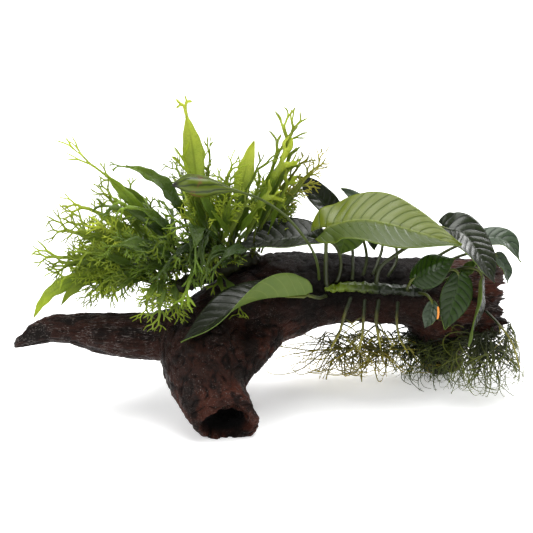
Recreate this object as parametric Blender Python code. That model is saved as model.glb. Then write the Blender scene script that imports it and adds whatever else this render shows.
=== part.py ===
"""A driftwood root planted with a lace java fern and an anubias, at real size.

The root stands on three feet and is split at its main forks. The fern's fronds rise from a creeping
rhizome on the trunk, and the anubias creeps along the front of the right limb, with its roots hanging
below it. Frame: +X to the right, +Y away from the front foot, +Z up, origin under the middle of the
whole plant on the surface that it stands on. Sizes below are in millimetres and angles in degrees.
"""

import math
from typing import NamedTuple

import bmesh
import bpy
from mathutils import Matrix, Vector

MM = 0.001
GAP = 0.3  # clear space between pieces that touch on the real plant

# Driving sizes of the wood
WOOD_VOXEL = 3.4
WOOD_TRIANGLES = 2400
LUMP_SIZE = 30.0
LUMP_HEIGHT = 5.0
LIMB_SIDES = 14
LEFT_FORK_X = -93.0
FRONT_FORK_Y = -27.0
RIGHT_FORK_X = 26.0
LOW_FORK_Z = 36.0
FAR = 400.0  # larger than the root in every direction

# Each limb is a route of (x, y, z, radius)
LIMBS = {
    "left_lower_finger": [
        (-198, 5, 48, 3.5), (-190, 5, 52, 5), (-176, 4, 57, 6.5), (-159, 3, 60, 8.5),
        (-130, 2, 58, 14), (-92, 2, 57, 18), (-55, 5, 56, 25),
    ],
    "left_upper_finger": [
        (-188, 4, 60, 3.5), (-180, 4, 64, 5), (-164, 4, 67.5, 5.5), (-140, 3, 67, 8), (-110, 3, 63, 10),
    ],
    "front_foot": [
        (-45, 10, 58, 29), (-48, -14, 52, 34), (-47, -34, 42, 31.5), (-40, -52, 28, 26),
        (-29, -66, 17, 23), (-24, -76, 11, 22.5),
    ],
    "front_web": [(-34, -44, 34, 14), (-18, -24, 47, 14), (4, 2, 62, 14)],
    "trunk": [
        (-50, 8, 58, 27), (-20, 20, 70, 34), (18, 32, 80, 34), (55, 42, 82, 27),
        (100, 48, 77, 26), (134, 52, 72, 29), (160, 54, 69, 32), (206, 54, 67, 31),
    ],
    "back_ridge": [(0, 42, 88, 16), (26, 46, 96, 16), (58, 48, 90, 13)],
    "right_foot": [(136, 54, 56, 25), (143, 68, 26, 18), (146, 80, -12, 17)],
    "rear_foot": [(-38, 26, 60, 25), (-44, 56, 28, 19), (-48, 72, -10, 16)],
}

# The hollow in the sawn end of the front foot, and the splits in the broken right end
SAW_CUT = {"at": (-29, -67, 17), "faces": (0.12, -1.0, -0.18)}
HOLLOW = {"at": (-27, -68, 18), "radii": (15, 16, 12)}
RIGHT_END = {"at": (191, 54, 68), "faces": (1.0, 0.0, 0.0)}
SPLITS = [
    # mouth of the split, where it ends, and its height at the mouth
    ((199, 54, 77), (178, 54, 79), 6.0),
    ((199, 54, 63), (170, 54, 65), 8.0),
    ((199, 54, 92), (184, 54, 90), 7.0),
]

# The fern's rhizome
FERN_RHIZOME = [(-74, 10, 92, 6), (-54, 18, 99, 7), (-31, 24, 106, 7.5), (-8, 28, 113, 6.5)]
ANUBIAS_RHIZOME = [
    (46, 14, 91, 3.5), (62, 15, 93, 4.2), (85, 17, 91, 4.5), (105, 19, 89, 4.5), (122, 21, 87, 4),
]
KNUCKLE_PITCH = 8.0  # distance between the leaf scars that ring a rhizome
KNUCKLE_DEPTH = 0.12


class Frond(NamedTuple):
    """A fern frond: where it leaves the rhizome, how it rises and bends, and how wide it is."""

    label: str
    at: float  # share of the rhizome's length, from its left end
    azimuth: float  # 0 is +X, 90 is away from the front
    rise: float  # pitch where the frond starts
    droop: float  # pitch at its tip
    length: float
    half_width: float
    crest: float  # half width of the forked crest, 0 for a plain tip
    roll: float = 0.0
    sweep: float = 0.0  # how far the azimuth turns along the frond
    stalk_share: float = 0.34  # share of the length below the blade
    crest_share: float = 0.24


FRONDS = [
    Frond("upright_broad", 0.36, 192, 90, 76, 138, 11, 5, roll=-80, stalk_share=0.46, crest_share=0.12),
    Frond("upright_narrow", 0.42, 64, 87, 74, 102, 4.5, 4, roll=-60),
    Frond("upright_forked", 0.50, 120, 81, 66, 94, 3, 8, roll=-70, sweep=-20),
    Frond("dark_lace", 0.55, -34, 85, 70, 92, 4.5, 12, roll=-80),
    Frond("pale_spear", 0.66, 20, 81, 64, 92, 8.5, 0, roll=-75, sweep=24, stalk_share=0.42),
    Frond("antler", 0.74, 2, 65, 70, 124, 5, 18, roll=-70, stalk_share=0.3, crest_share=0.32),
    Frond("right_arching", 0.84, 14, 54, 40, 98, 4.5, 11, roll=-40),
    Frond("right_middle", 0.80, 50, 56, 22, 74, 4.5, 10, roll=-30),
    Frond("right_low", 0.95, 18, 56, 22, 44, 4.5, 9, roll=-40),
    Frond("arching_strap", 0.26, 188, 89, -6, 124, 6, 3, roll=-10, sweep=12, crest_share=0.12),
    Frond("high_left", 0.12, 181, 67, 16, 148, 6, 9, roll=-30, sweep=-8, crest_share=0.34),
    Frond("high_left_inner", 0.20, 170, 69, 2, 112, 6.5, 10, roll=-35, sweep=-18),
    Frond("left_upper", 0.10, 186, 53, 14, 112, 6.5, 15, roll=-50),
    Frond("left_middle", 0.05, 178, 38, 2, 106, 6.5, 16, roll=-55),
    Frond("left_lower", 0.03, 192, 29, -14, 106, 6.5, 15, roll=-50, sweep=-8),
    Frond("long_drooping", 0.00, 193, 24, -72, 112, 6, 0, roll=-50, sweep=-4),
    Frond("left_hanging", 0.06, 206, 26, -70, 77, 5, 8, roll=-40, sweep=-10),
    Frond("front_left", 0.14, 207, 77, -22, 102, 6.5, 9, roll=-20, sweep=-22),
    Frond("front_strap", 0.26, 224, 50, -30, 92, 7, 8, roll=-30, sweep=-28),
    Frond("front_hanging", 0.40, 266, 80, -122, 102, 6.5, 5),
    Frond("front_lace", 0.16, 243, 24, -108, 72, 4, 11, sweep=36),
    Frond("front_right_lace", 0.56, 280, 8, -108, 54, 3.5, 10, sweep=46),
    Frond("back_left", 0.10, 150, 39, -14, 86, 6.5, 14),
    Frond("back_low", 0.30, 125, 23, -14, 92, 6.5, 12),
    Frond("back_middle", 0.50, 95, 26, 14, 96, 6.5, 13, sweep=-10),
    Frond("back_right", 0.76, 58, 34, 12, 76, 5.5, 12, sweep=-12),
    Frond("back_tall", 0.46, 112, 54, 6, 106, 6.5, 12),
]
FERN_STEM_RADIUS = 1.1
BLADE_THICKNESS = 0.9


class Leaf(NamedTuple):
    """An anubias leaf: its stalk, its blade's midrib and the way its upper face looks."""

    label: str
    stalk: list  # from the rhizome to the base of the blade
    midrib: list  # from the base of the blade to its tip, without the base
    faces: list  # upper side at the base and at the tip
    half_width: float
    fold: tuple = (0.1, 0.1)  # how far the margins rise over the midrib, as shares of the half width


LEAVES = [
    Leaf("big_pale", [(47, 7, 98), (46, 4, 112), (46, 3, 130), (46, 5, 145)],
         [(60, 5, 151), (80, 2, 153), (102, -2, 149), (125, -6, 143), (149, -10, 136)],
         [(-0.12, -0.36, 0.93), (0.2, -0.38, 0.9)], 29, (0.08, 0.12)),
    Leaf("dark_right", [(86, 12, 98), (88, 10, 110), (101, 10, 122), (120, 16, 132), (137, 20, 141)],
         [(152, 16, 138), (165, 6, 124), (177, -2, 103)],
         [(0.35, -0.45, 0.82), (0.85, -0.45, 0.30)], 21, (0.1, 0.1)),
    Leaf("far_right", [(120, 28, 95), (130, 38, 106), (150, 44, 116), (166, 50, 120)],
         [(180, 50, 122), (193, 48, 118), (202, 42, 104)],
         [(-0.1, -0.35, 0.9), (0.75, -0.35, 0.45)], 11, (0.2, 0.2)),
    Leaf("front_twisted", [(46, 8, 88), (41, 1, 89), (30, -8, 95)],
         [(13, -17, 98), (-4, -24, 99), (-21, -31, 95), (-36, -37, 87), (-51, -42, 79), (-65, -46, 71)],
         [(0.1, 0.7, 0.7), (-0.2, -0.55, 0.8)], 18, (1.0, 0.3)),
    Leaf("dark_back_left", [(55, 15, 98), (58, 15, 112), (54, 17, 126), (43, 18, 131)],
         [(26, 17, 134), (1, 15, 131), (-26, 11, 126)],
         [(-0.05, -0.34, 0.94), (-0.3, -0.34, 0.9)], 18, (0.4, 0.3)),
    Leaf("high_back", [(67, 17, 99), (68, 34, 113), (65, 46, 124), (56, 48, 136)],
         [(47, 46, 150), (36, 46, 163), (24, 44, 175)],
         [(0.55, -0.6, 0.6), (0.3, -0.85, 0.5)], 11, (0.3, 0.2)),
    Leaf("back_tip", [(84, 28, 99), (92, 46, 116), (87, 56, 134)],
         [(77, 58, 146), (69, 58, 154), (59, 58, 160)],
         [(0.1, -0.5, 0.85), (0.25, -0.7, 0.65)], 7, (0.25, 0.2)),
    Leaf("green_under", [(76, 24, 100), (79, 35, 114), (72, 40, 134), (66, 38, 141)],
         [(63, 36, 134), (61, 34, 124), (58, 32, 114)],
         [(0.1, -0.93, 0.35), (-0.05, -0.95, 0.3)], 16, (0.08, 0.05)),
    Leaf("cupped", [(111, 12, 91), (110, 7, 95), (113, 2, 104)],
         [(124, -3, 113), (134, -5, 119), (145, -4, 123)],
         [(-0.25, -0.8, 0.55), (-0.3, -0.8, 0.5)], 13, (-0.4, -0.3)),
    Leaf("hanging_dark", [(123, 13, 90), (134, 9, 102), (143, 6, 111), (149, 4, 108)],
         [(149, 2, 98), (145, 0, 83), (139, -2, 64)],
         [(0.1, -0.95, 0.3), (-0.1, -0.97, 0.15)], 12, (0.15, 0.1)),
    Leaf("small_grey", [(120, 14, 88), (125, 5, 90), (129, 0, 86)],
         [(128, -3, 80), (126, -5, 74), (123, -5, 66)],
         [(-0.3, -0.93, 0.2), (-0.3, -0.93, 0.1)], 6, (0.1, 0.1)),
    Leaf("hanging_edge_on", [(126, 16, 93), (146, 14, 107), (163, 9, 110), (168, 6, 102)],
         [(167, 4, 92), (163, 0, 72), (158, -3, 50)],
         [(0.94, -0.25, 0.2), (0.94, -0.25, 0.1)], 12, (0.2, 0.2)),
    Leaf("right_drooping", [(124, 24, 94), (144, 34, 108), (168, 38, 114), (182, 39, 111)],
         [(188, 38, 105), (191, 36, 98), (192, 34, 89)],
         [(0.5, -0.6, 0.6), (0.8, -0.5, 0.3)], 7, (0.1, 0.1)),
    Leaf("small_bright", [(127, 17, 90), (142, 20, 98), (153, 22, 102)],
         [(158, 22, 105), (161, 22, 109), (164, 21, 112)],
         [(-0.3, -0.7, 0.6), (-0.3, -0.7, 0.6)], 5, (0.1, 0.1)),
    Leaf("dark_tip", [(96, 26, 98), (104, 40, 112), (96, 48, 130), (88, 49, 136)],
         [(85, 48, 130), (85, 46, 121), (86, 44, 113)],
         [(0.1, -0.93, 0.35), (0.05, -0.95, 0.3)], 7, (0.1, 0.1)),
]
STALK_RADIUS = 1.5
LEAF_THICKNESS = 1.0
STALK_STEPS = 4
BLADE_STEPS = 8

# The rolled young leaf: route of (x, y, z, radius)
ROLLED_LEAF = [
    (41, 12, 100, 1.3), (39, 3, 118, 1.4), (31, -6, 138, 1.4), (14, -9, 160, 1.5), (-6, -13, 175, 1.6),
    (-26, -18, 183, 2.0), (-36, -20, 185, 4.2), (-48, -22, 187, 6.4), (-60, -24, 190, 6.0),
    (-70, -25, 189, 1.4),
]

# Thick hanging roots of the anubias, from the rhizome down: routes of (x, y, z, radius)
ROOTS = {
    "first": [(66, 10, 86, 1.8), (61, 4, 74, 1.7), (57, 5, 58, 1.4), (50, 16, 38, 0.9)],
    "second": [(77, 10, 84, 1.7), (76, 4, 72, 1.6), (75, 4, 56, 1.4), (74, 10, 42, 1.0)],
    "third": [(88, 12, 83, 2.0), (86, 5, 70, 1.9), (88, 5, 54, 1.6), (91, 10, 42, 1.0)],
    "fourth": [(103, 13, 81, 1.6), (102, 6, 68, 1.4), (105, 8, 52, 1.2), (112, 12, 38, 0.8)],
    "long_right": [(173, 16, 72, 1.3), (182, 3, 66, 1.2), (192, -6, 54, 1.0), (198, -10, 34, 0.7)],
}
# Tangles of fine root, as the closed outlines that their strands fill: centre and half sizes
TANGLES = {
    "foot": ((136, 50, 30), (30, 20, 22)),
    "side": ((174, 14, 36), (19, 18, 21)),
    "under_rhizome": ((74, 46, 22), (32, 20, 18)),
}
ORANGE_TIE = [(132.5, -10, 86, 0.9), (133, -10.5, 81, 1.0), (132.5, -10, 76, 0.9)]


def clear_scene() -> None:
    """Removes what the file opens with."""
    for obj in list(bpy.data.objects):
        bpy.data.objects.remove(obj, do_unlink=True)


def finish(name: str, colour: tuple, roughness: float) -> bpy.types.Material:
    """A Principled material, made once for each name."""
    made = bpy.data.materials.get(name)
    if made:
        return made
    made = bpy.data.materials.new(name)
    made.use_nodes = True
    surface = made.node_tree.nodes["Principled BSDF"]
    surface.inputs["Base Color"].default_value = (*colour, 1.0)
    surface.inputs["Roughness"].default_value = roughness
    surface.inputs["Metallic"].default_value = 0.0
    return made


def bark() -> bpy.types.Material:
    """Wet, nearly black bogwood."""
    return finish("wet_bogwood", (0.045, 0.022, 0.017), 0.45)


def fern_green() -> bpy.types.Material:
    """The fern's soft green."""
    return finish("fern_green", (0.16, 0.34, 0.03), 0.4)


def anubias_green() -> bpy.types.Material:
    """The anubias's deep leathery green."""
    return finish("anubias_green", (0.05, 0.14, 0.03), 0.3)


def root_green() -> bpy.types.Material:
    """Roots and rhizomes, olive to brown."""
    return finish("root_olive", (0.12, 0.15, 0.04), 0.55)


def new_object(name: str, bm: bmesh.types.BMesh, material: bpy.types.Material) -> bpy.types.Object:
    """A named object from a bmesh in millimetres."""
    bm.normal_update()
    bmesh.ops.recalc_face_normals(bm, faces=bm.faces)
    mesh = bpy.data.meshes.new(name)
    bm.to_mesh(mesh)
    bm.free()
    mesh.transform(Matrix.Scale(MM, 4))
    mesh.materials.append(material)
    mesh.shade_smooth()
    made = bpy.data.objects.new(name, mesh)
    bpy.context.scene.collection.objects.link(made)
    return made


def as_helper(obj: bpy.types.Object) -> bpy.types.Object:
    """Marks a cutter or guide, which isn't part of the plant."""
    obj.hide_render = True
    obj.display_type = "WIRE"
    return obj


def evaluated_mesh(obj: bpy.types.Object) -> bpy.types.Mesh:
    """The object's mesh with its modifiers applied."""
    graph = bpy.context.evaluated_depsgraph_get()
    return bpy.data.meshes.new_from_object(obj.evaluated_get(graph))


def curve_through(points: list, steps: int) -> list:
    """Points spaced evenly by parameter on a smooth Catmull-Rom curve through points of any dimension."""
    ends = [2 * points[0] - points[1], *points, 2 * points[-1] - points[-2]]
    spans = len(points) - 1
    found = []
    for step in range(steps + 1):
        place = min(step / steps * spans, spans - 1e-6)
        span, t = int(place), place - int(place)
        a, b, c, d = ends[span:span + 4]
        found.append(
            0.5 * (2 * b + (c - a) * t + (2 * a - 5 * b + 4 * c - d) * t**2 + (3 * b - a - 3 * c + d) * t**3)
        )
    return found


def route_points(route: list, steps: int) -> list:
    """(point, radius) pairs on a smooth curve through a route of (x, y, z, radius)."""
    return [(found.to_3d(), found[3]) for found in curve_through([Vector(p) for p in route], steps)]


def tangent(points: list, index: int) -> Vector:
    """Direction of a list of points at one of them."""
    return (points[min(index + 1, len(points) - 1)] - points[max(index - 1, 0)]).normalized()


def square_to(direction: Vector, along: Vector) -> Vector:
    """The part of a direction that is square to another, at unit length."""
    return (direction - direction.dot(along) * along).normalized()


def loft(
    name: str, rings: list, start: Vector, end: Vector, material: bpy.types.Material
) -> bpy.types.Object:
    """A closed solid through rings of points, all with the same count, drawn to a point at each end."""
    bm = bmesh.new()
    rows = [[bm.verts.new(point) for point in ring] for ring in rings]
    first, last = bm.verts.new(start), bm.verts.new(end)
    count = len(rows[0])
    for near, far in zip(rows, rows[1:]):
        for i in range(count):
            j = (i + 1) % count
            if count > 4:
                bm.faces.new((near[i], near[j], far[j], far[i]))
            elif i % 2 == 0:  # a blade's two sides are split along the same diagonals, so they never cross
                bm.faces.new((near[i], near[j], far[j]))
                bm.faces.new((near[i], far[j], far[i]))
            else:
                bm.faces.new((near[i], near[j], far[i]))
                bm.faces.new((near[j], far[j], far[i]))
    for i in range(count):
        j = (i + 1) % count
        bm.faces.new((first, rows[0][j], rows[0][i]))
        bm.faces.new((last, rows[-1][i], rows[-1][j]))
    return new_object(name, bm, material)


def side_axis(points: list) -> Vector:
    """The axis that a list of points runs along the least."""
    run = points[-1] - points[0]
    least = min(range(3), key=lambda i: abs(run[i]))
    return Vector(float(i == least) for i in range(3))


def round_ring(
    centre: Vector, along: Vector, radius: float, sides: int, level: Vector | None = None
) -> list:
    """Points on a circle square to a direction, counted from the side that faces level, or up."""
    if level is None:
        level = Vector((0, 0, 1)) if abs(along.z) < 0.9 else Vector((0, 1, 0))
    up = square_to(level, along)
    across = along.cross(up)
    turns = [2 * math.pi * i / sides for i in range(sides)]
    return [centre + radius * (math.cos(turn) * up + math.sin(turn) * across) for turn in turns]


def tube(name: str, route: list, steps: int, sides: int, material: bpy.types.Material) -> bpy.types.Object:
    """A round solid along a route, with domed ends."""
    found = route_points(route, steps)
    points = [point for point, _ in found]
    level = side_axis(points) if sides <= 8 else None
    rings = [round_ring(p, tangent(points, i), r, sides, level) for i, (p, r) in enumerate(found)]
    start = points[0] - tangent(points, 0) * found[0][1] * 0.6
    end = points[-1] + tangent(points, len(points) - 1) * found[-1][1] * 0.6
    return loft(name, rings, start, end, material)


def blade_ring(
    centre: Vector, along: Vector, faces: Vector, half: float, over: float, under: float, rise: float
) -> list:
    """A four-cornered section: margin, upper midrib, margin and lower midrib."""
    up = square_to(faces, along)
    across = along.cross(up)
    edge = centre + up * rise
    return [edge + across * half, centre + up * over, edge - across * half, centre - up * under]


# ---------------------------------------------------------------- driftwood


def joined_limbs() -> bpy.types.Object:
    """Every limb as a tube, fused into one skin with lumps and hollows."""
    limbs = [tube(f"limb_{name}", route, 8, LIMB_SIDES, bark()) for name, route in LIMBS.items()]
    bm = bmesh.new()
    for limb in limbs:
        bm.from_mesh(limb.data)
        bpy.data.objects.remove(limb)
    mesh = bpy.data.meshes.new("root_skin")
    bm.to_mesh(mesh)
    bm.free()
    mesh.materials.append(bark())
    skin = as_helper(bpy.data.objects.new("root_skin", mesh))
    bpy.context.scene.collection.objects.link(skin)
    fuse = skin.modifiers.new("fuse", "REMESH")
    fuse.mode = "VOXEL"
    fuse.voxel_size = WOOD_VOXEL * MM
    lumps = bpy.data.textures.new("lumps", "CLOUDS")
    lumps.noise_scale = LUMP_SIZE * MM
    push = skin.modifiers.new("lumps", "DISPLACE")
    push.texture = lumps
    push.strength = LUMP_HEIGHT * MM
    push.mid_level = 0.5
    soften = skin.modifiers.new("soften", "SMOOTH")
    soften.factor = 0.4
    soften.iterations = 2
    return skin


def box_cutter(name: str, low: tuple, high: tuple) -> bpy.types.Object:
    """A box between two corners, in millimetres."""
    bm = bmesh.new()
    bmesh.ops.create_cube(bm, size=1.0)
    size = Vector(high) - Vector(low)
    for vertex in bm.verts:
        vertex.co = Vector(low) + Vector((vertex.co[i] + 0.5) * size[i] for i in range(3))
    return as_helper(new_object(name, bm, bark()))


def slab_cutter(name: str, at: tuple, faces: tuple) -> bpy.types.Object:
    """A thick slab whose near face passes through a point and looks back along a direction."""
    out = Vector(faces).normalized()
    bm = bmesh.new()
    bmesh.ops.create_cube(bm, size=1.0)
    turn = out.to_track_quat("Z", "Y").to_matrix().to_4x4()
    for vertex in bm.verts:
        flat = Vector((vertex.co.x * 90, vertex.co.y * 90, (vertex.co.z + 0.5) * 60))
        vertex.co = turn @ flat + Vector(at)
    return as_helper(new_object(name, bm, bark()))


def split_cutter(name: str, mouth: tuple, root: tuple, height: float) -> bpy.types.Object:
    """A wedge that opens a split in the broken end."""
    half_depth = 60.0
    bm = bmesh.new()
    near, far = Vector(mouth), Vector(root)
    corners = [near + Vector((0, 0, height / 2)), near - Vector((0, 0, height / 2)), far]
    front = [bm.verts.new(c - Vector((0, half_depth, 0))) for c in corners]
    back = [bm.verts.new(c + Vector((0, half_depth, 0))) for c in corners]
    bm.faces.new(front)
    bm.faces.new(back[::-1])
    for i in range(3):
        j = (i + 1) % 3
        bm.faces.new((front[j], front[i], back[i], back[j]))
    return as_helper(new_object(name, bm, bark()))


def hollow_cutter() -> bpy.types.Object:
    """The rotted hollow in the sawn end of the front foot."""
    bm = bmesh.new()
    bmesh.ops.create_uvsphere(bm, u_segments=12, v_segments=8, radius=1.0)
    for vertex in bm.verts:
        vertex.co = Vector(c * r for c, r in zip(vertex.co, HOLLOW["radii"])) + Vector(HOLLOW["at"])
    return as_helper(new_object("hollow", bm, bark()))


def boolean(obj: bpy.types.Object, other: bpy.types.Object, operation: str) -> None:
    """Adds an exact Boolean to an object."""
    modifier = obj.modifiers.new(f"{operation.lower()}_{other.name}", "BOOLEAN")
    modifier.operation = operation
    modifier.object = other


def whole_root() -> bpy.types.Object:
    """The fused root at its final facet count, sawn, hollowed and split."""
    skin = joined_limbs()
    mesh = evaluated_mesh(skin)
    root = as_helper(bpy.data.objects.new("whole_root", mesh))
    bpy.context.scene.collection.objects.link(root)
    bpy.data.objects.remove(skin)
    coarsen = root.modifiers.new("coarsen", "DECIMATE")
    coarsen.ratio = WOOD_TRIANGLES / (2 * len(mesh.polygons))
    boolean(root, slab_cutter("saw", **SAW_CUT), "DIFFERENCE")
    boolean(root, slab_cutter("right_end", **RIGHT_END), "DIFFERENCE")
    boolean(root, hollow_cutter(), "DIFFERENCE")
    for i, (mouth, end, height) in enumerate(SPLITS):
        boolean(root, split_cutter(f"split_{i}", mouth, end, height), "DIFFERENCE")
    return root


def driftwood(root: bpy.types.Object) -> list:
    """The root split at its main forks, each piece flat where it stands on the floor."""
    half = GAP / 2
    regions = {
        "driftwood_left_limb": ((-FAR, -FAR, 0), (LEFT_FORK_X - half, FAR, FAR)),
        "driftwood_front_foot": (
            (LEFT_FORK_X + half, -FAR, 0), (RIGHT_FORK_X - half, FRONT_FORK_Y - half, FAR)
        ),
        "driftwood_hub": (
            (LEFT_FORK_X + half, FRONT_FORK_Y + half, LOW_FORK_Z + half), (RIGHT_FORK_X - half, FAR, FAR),
        ),
        "driftwood_rear_foot": (
            (LEFT_FORK_X + half, FRONT_FORK_Y + half, 0), (RIGHT_FORK_X - half, FAR, LOW_FORK_Z - half),
        ),
        "driftwood_right_limb": ((RIGHT_FORK_X + half, -FAR, LOW_FORK_Z + half), (FAR, FAR, FAR)),
        "driftwood_right_foot": ((RIGHT_FORK_X + half, -FAR, 0), (FAR, FAR, LOW_FORK_Z - half)),
    }
    made = []
    mesh = evaluated_mesh(root)
    for name, (low, high) in regions.items():
        piece = bpy.data.objects.new(name, mesh.copy())
        bpy.context.scene.collection.objects.link(piece)
        boolean(piece, box_cutter(f"region_{name}", low, high), "INTERSECT")
        made.append(piece)
    return made


def wood_clearance(root: bpy.types.Object) -> bpy.types.Object:
    """The root's skin moved out by the gap, which cuts the rhizomes and tangles that lie on it."""
    cutter = as_helper(bpy.data.objects.new("wood_clearance", evaluated_mesh(root)))
    bpy.context.scene.collection.objects.link(cutter)
    swell = cutter.modifiers.new("swell", "DISPLACE")
    swell.strength = 1.5 * GAP * MM
    swell.mid_level = 0.0
    return cutter


# ---------------------------------------------------------------- rhizomes and roots


def rhizome(name: str, route: list, clearance: bpy.types.Object) -> bpy.types.Object:
    """A creeping stem, ringed by leaf scars and flattened where it lies on the wood."""
    length = sum((Vector(b[:3]) - Vector(a[:3])).length for a, b in zip(route, route[1:]))
    steps = 2 * round(length / KNUCKLE_PITCH)
    found = route_points(route, steps)
    points = [point for point, _ in found]
    rings = [
        round_ring(p, tangent(points, i), r * (1 + KNUCKLE_DEPTH * (-1) ** i), 8)
        for i, (p, r) in enumerate(found)
    ]
    start = points[0] - tangent(points, 0) * 4
    end = points[-1] + tangent(points, steps) * 4
    made = loft(name, rings, start, end, root_green())
    boolean(made, clearance, "DIFFERENCE")
    return made


def hanging_roots() -> list:
    """The thick roots that hang from the anubias's rhizome."""
    return [tube(f"anubias_root_{name}", route, 8, 4, root_green()) for name, route in ROOTS.items()]


def tangle(name: str, centre: tuple, half: tuple, clearance: bpy.types.Object) -> bpy.types.Object:
    """The outline of a mass of fine roots, cut where the wood passes through it."""
    bm = bmesh.new()
    bmesh.ops.create_icosphere(bm, subdivisions=2, radius=1.0)
    for vertex in bm.verts:
        lumpy = 1 + 0.06 * math.sin(7 * vertex.co.x + 3 * vertex.co.z) * math.cos(6 * vertex.co.y)
        vertex.co = Vector(c * h * lumpy for c, h in zip(vertex.co, half)) + Vector(centre)
        vertex.co.z = max(vertex.co.z, 1.5)
    made = new_object(f"root_tangle_{name}", bm, root_green())
    boolean(made, clearance, "DIFFERENCE")
    return made


# ---------------------------------------------------------------- fern


def frond_directions(frond: Frond, steps: int) -> list:
    """(direction, upper side) at each step: the pitch eases from the rise to the droop."""
    found = []
    for step in range(steps + 1):
        s = step / steps
        pitch = math.radians(frond.rise + (frond.droop - frond.rise) * s**1.6)
        turn = math.radians(frond.azimuth + frond.sweep * s)
        along = Vector((math.cos(pitch) * math.cos(turn), math.cos(pitch) * math.sin(turn), math.sin(pitch)))
        up = Vector((-math.sin(pitch) * math.cos(turn), -math.sin(pitch) * math.sin(turn), math.cos(pitch)))
        up.rotate(Matrix.Rotation(math.radians(frond.roll) * min(1.0, 1.8 * s), 3, along))
        found.append((along, up))
    return found


def frond_half_width(frond: Frond, s: float) -> float:
    """Half width at a share of the length: stalk, lance-shaped blade, then the crest or a plain tip."""
    blade_end = 1 - frond.crest_share if frond.crest else 1.0
    if s <= frond.stalk_share:
        return FERN_STEM_RADIUS
    if s <= blade_end:
        x = (s - frond.stalk_share) / (blade_end - frond.stalk_share)
        return max(FERN_STEM_RADIUS, frond.half_width * math.sin(math.pi * x**0.85) ** 0.8)
    x = (s - blade_end) / (1 - blade_end)
    return FERN_STEM_RADIUS + frond.crest * math.sin(math.pi * min(1.0, 0.12 + 0.66 * x))


def frond_solid(frond: Frond, rhizome_route: list) -> bpy.types.Object:
    """One frond, from just above the rhizome to the tips of its crest."""
    fine = 60
    found = route_points(rhizome_route, fine)
    centre, radius = found[round(frond.at * fine)]
    directions = frond_directions(frond, fine)
    centres = [point for point, _ in found]
    lean = directions[0][0].dot(tangent(centres, round(frond.at * fine)))
    clear = radius * (1 + KNUCKLE_DEPTH) + FERN_STEM_RADIUS + 2 * GAP
    points = [centre + directions[0][0] * clear / max(0.6, math.sqrt(1 - lean**2))]
    for along, _ in directions[:-1]:
        points.append(points[-1] + along * frond.length / fine)
    blade_end = 1 - frond.crest_share if frond.crest else 0.97
    stations = [0.03, frond.stalk_share / 2, frond.stalk_share]
    stations += [frond.stalk_share + (blade_end - frond.stalk_share) * x for x in (0.15, 0.4, 0.65, 0.88)]
    if frond.crest:
        stations += [blade_end, blade_end + frond.crest_share * 0.5, blade_end + frond.crest_share * 0.85]
    rings = []
    for s in stations:
        i = round(s * fine)
        along, up = directions[i]
        half = frond_half_width(frond, s)
        in_blade = s > frond.stalk_share
        over, under = (0.3, 0.6) if in_blade else (0.6, 1.0)
        if s > blade_end:
            over, under = 1.2, 1.4
        over, under = over * BLADE_THICKNESS, under * BLADE_THICKNESS
        rings.append(blade_ring(points[i], along, up, half, over, under, 0.0))
    return loft(f"fern_frond_{frond.label}", rings, points[0], points[-1], fern_green())


# ---------------------------------------------------------------- anubias


def leaf_outline(x: float) -> float:
    """Half width of an anubias blade, as a share of its greatest, at a share of the midrib."""
    return math.sin(math.pi * min(1.0, x) ** 0.72) ** 0.62


def leaf_solid(leaf: Leaf) -> bpy.types.Object:
    """One leaf: a round stalk that runs into a heart-shaped blade."""
    stalk = [Vector(p) for p in leaf.stalk]
    midrib = [stalk[-1], *(Vector(p) for p in leaf.midrib)]
    stalk_points = curve_through(stalk, STALK_STEPS)
    blade_points = curve_through(midrib, BLADE_STEPS)
    points = stalk_points + blade_points[1:]
    first_face, last_face = (Vector(f).normalized() for f in leaf.faces)
    stalk_face = first_face
    rings = []
    for i in range(STALK_STEPS, -1, -1):
        stalk_face = square_to(stalk_face, tangent(points, i))
        half = STALK_RADIUS
        rings.insert(0, blade_ring(points[i], tangent(points, i), stalk_face, half, 0.7 * half, half, 0.0))
    for i in range(STALK_STEPS + 1, len(points) - 1):
        x = (i - STALK_STEPS) / BLADE_STEPS
        half = leaf.half_width * leaf_outline(x)
        faces = first_face.lerp(last_face, x)
        rise = (leaf.fold[0] + (leaf.fold[1] - leaf.fold[0]) * x) * half
        over, under = 0.4 * LEAF_THICKNESS, (1.2 - 0.5 * x) * LEAF_THICKNESS
        rings.append(blade_ring(points[i], tangent(points, i), faces, half, over, under, rise))
    start = points[0] - tangent(points, 0) * STALK_RADIUS * 0.5
    return loft(f"anubias_leaf_{leaf.label}", rings, start, points[-1], anubias_green())


# ---------------------------------------------------------------- the whole plant


def stand_at_origin(pieces: list) -> None:
    """Moves every piece so that the origin is under the middle of the plant."""
    bpy.context.view_layer.update()
    graph = bpy.context.evaluated_depsgraph_get()
    corners = []
    for piece in pieces:
        evaluated = piece.evaluated_get(graph)
        mesh = evaluated.to_mesh()
        corners += [v.co.copy() for v in mesh.vertices]
        evaluated.to_mesh_clear()
    middle = Vector((
        (min(c.x for c in corners) + max(c.x for c in corners)) / 2,
        (min(c.y for c in corners) + max(c.y for c in corners)) / 2,
        0.0,
    ))
    for obj in bpy.context.scene.objects:
        if obj.parent is None:
            obj.location -= middle
    print("moved by", [round(c, 5) for c in middle])


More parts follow.
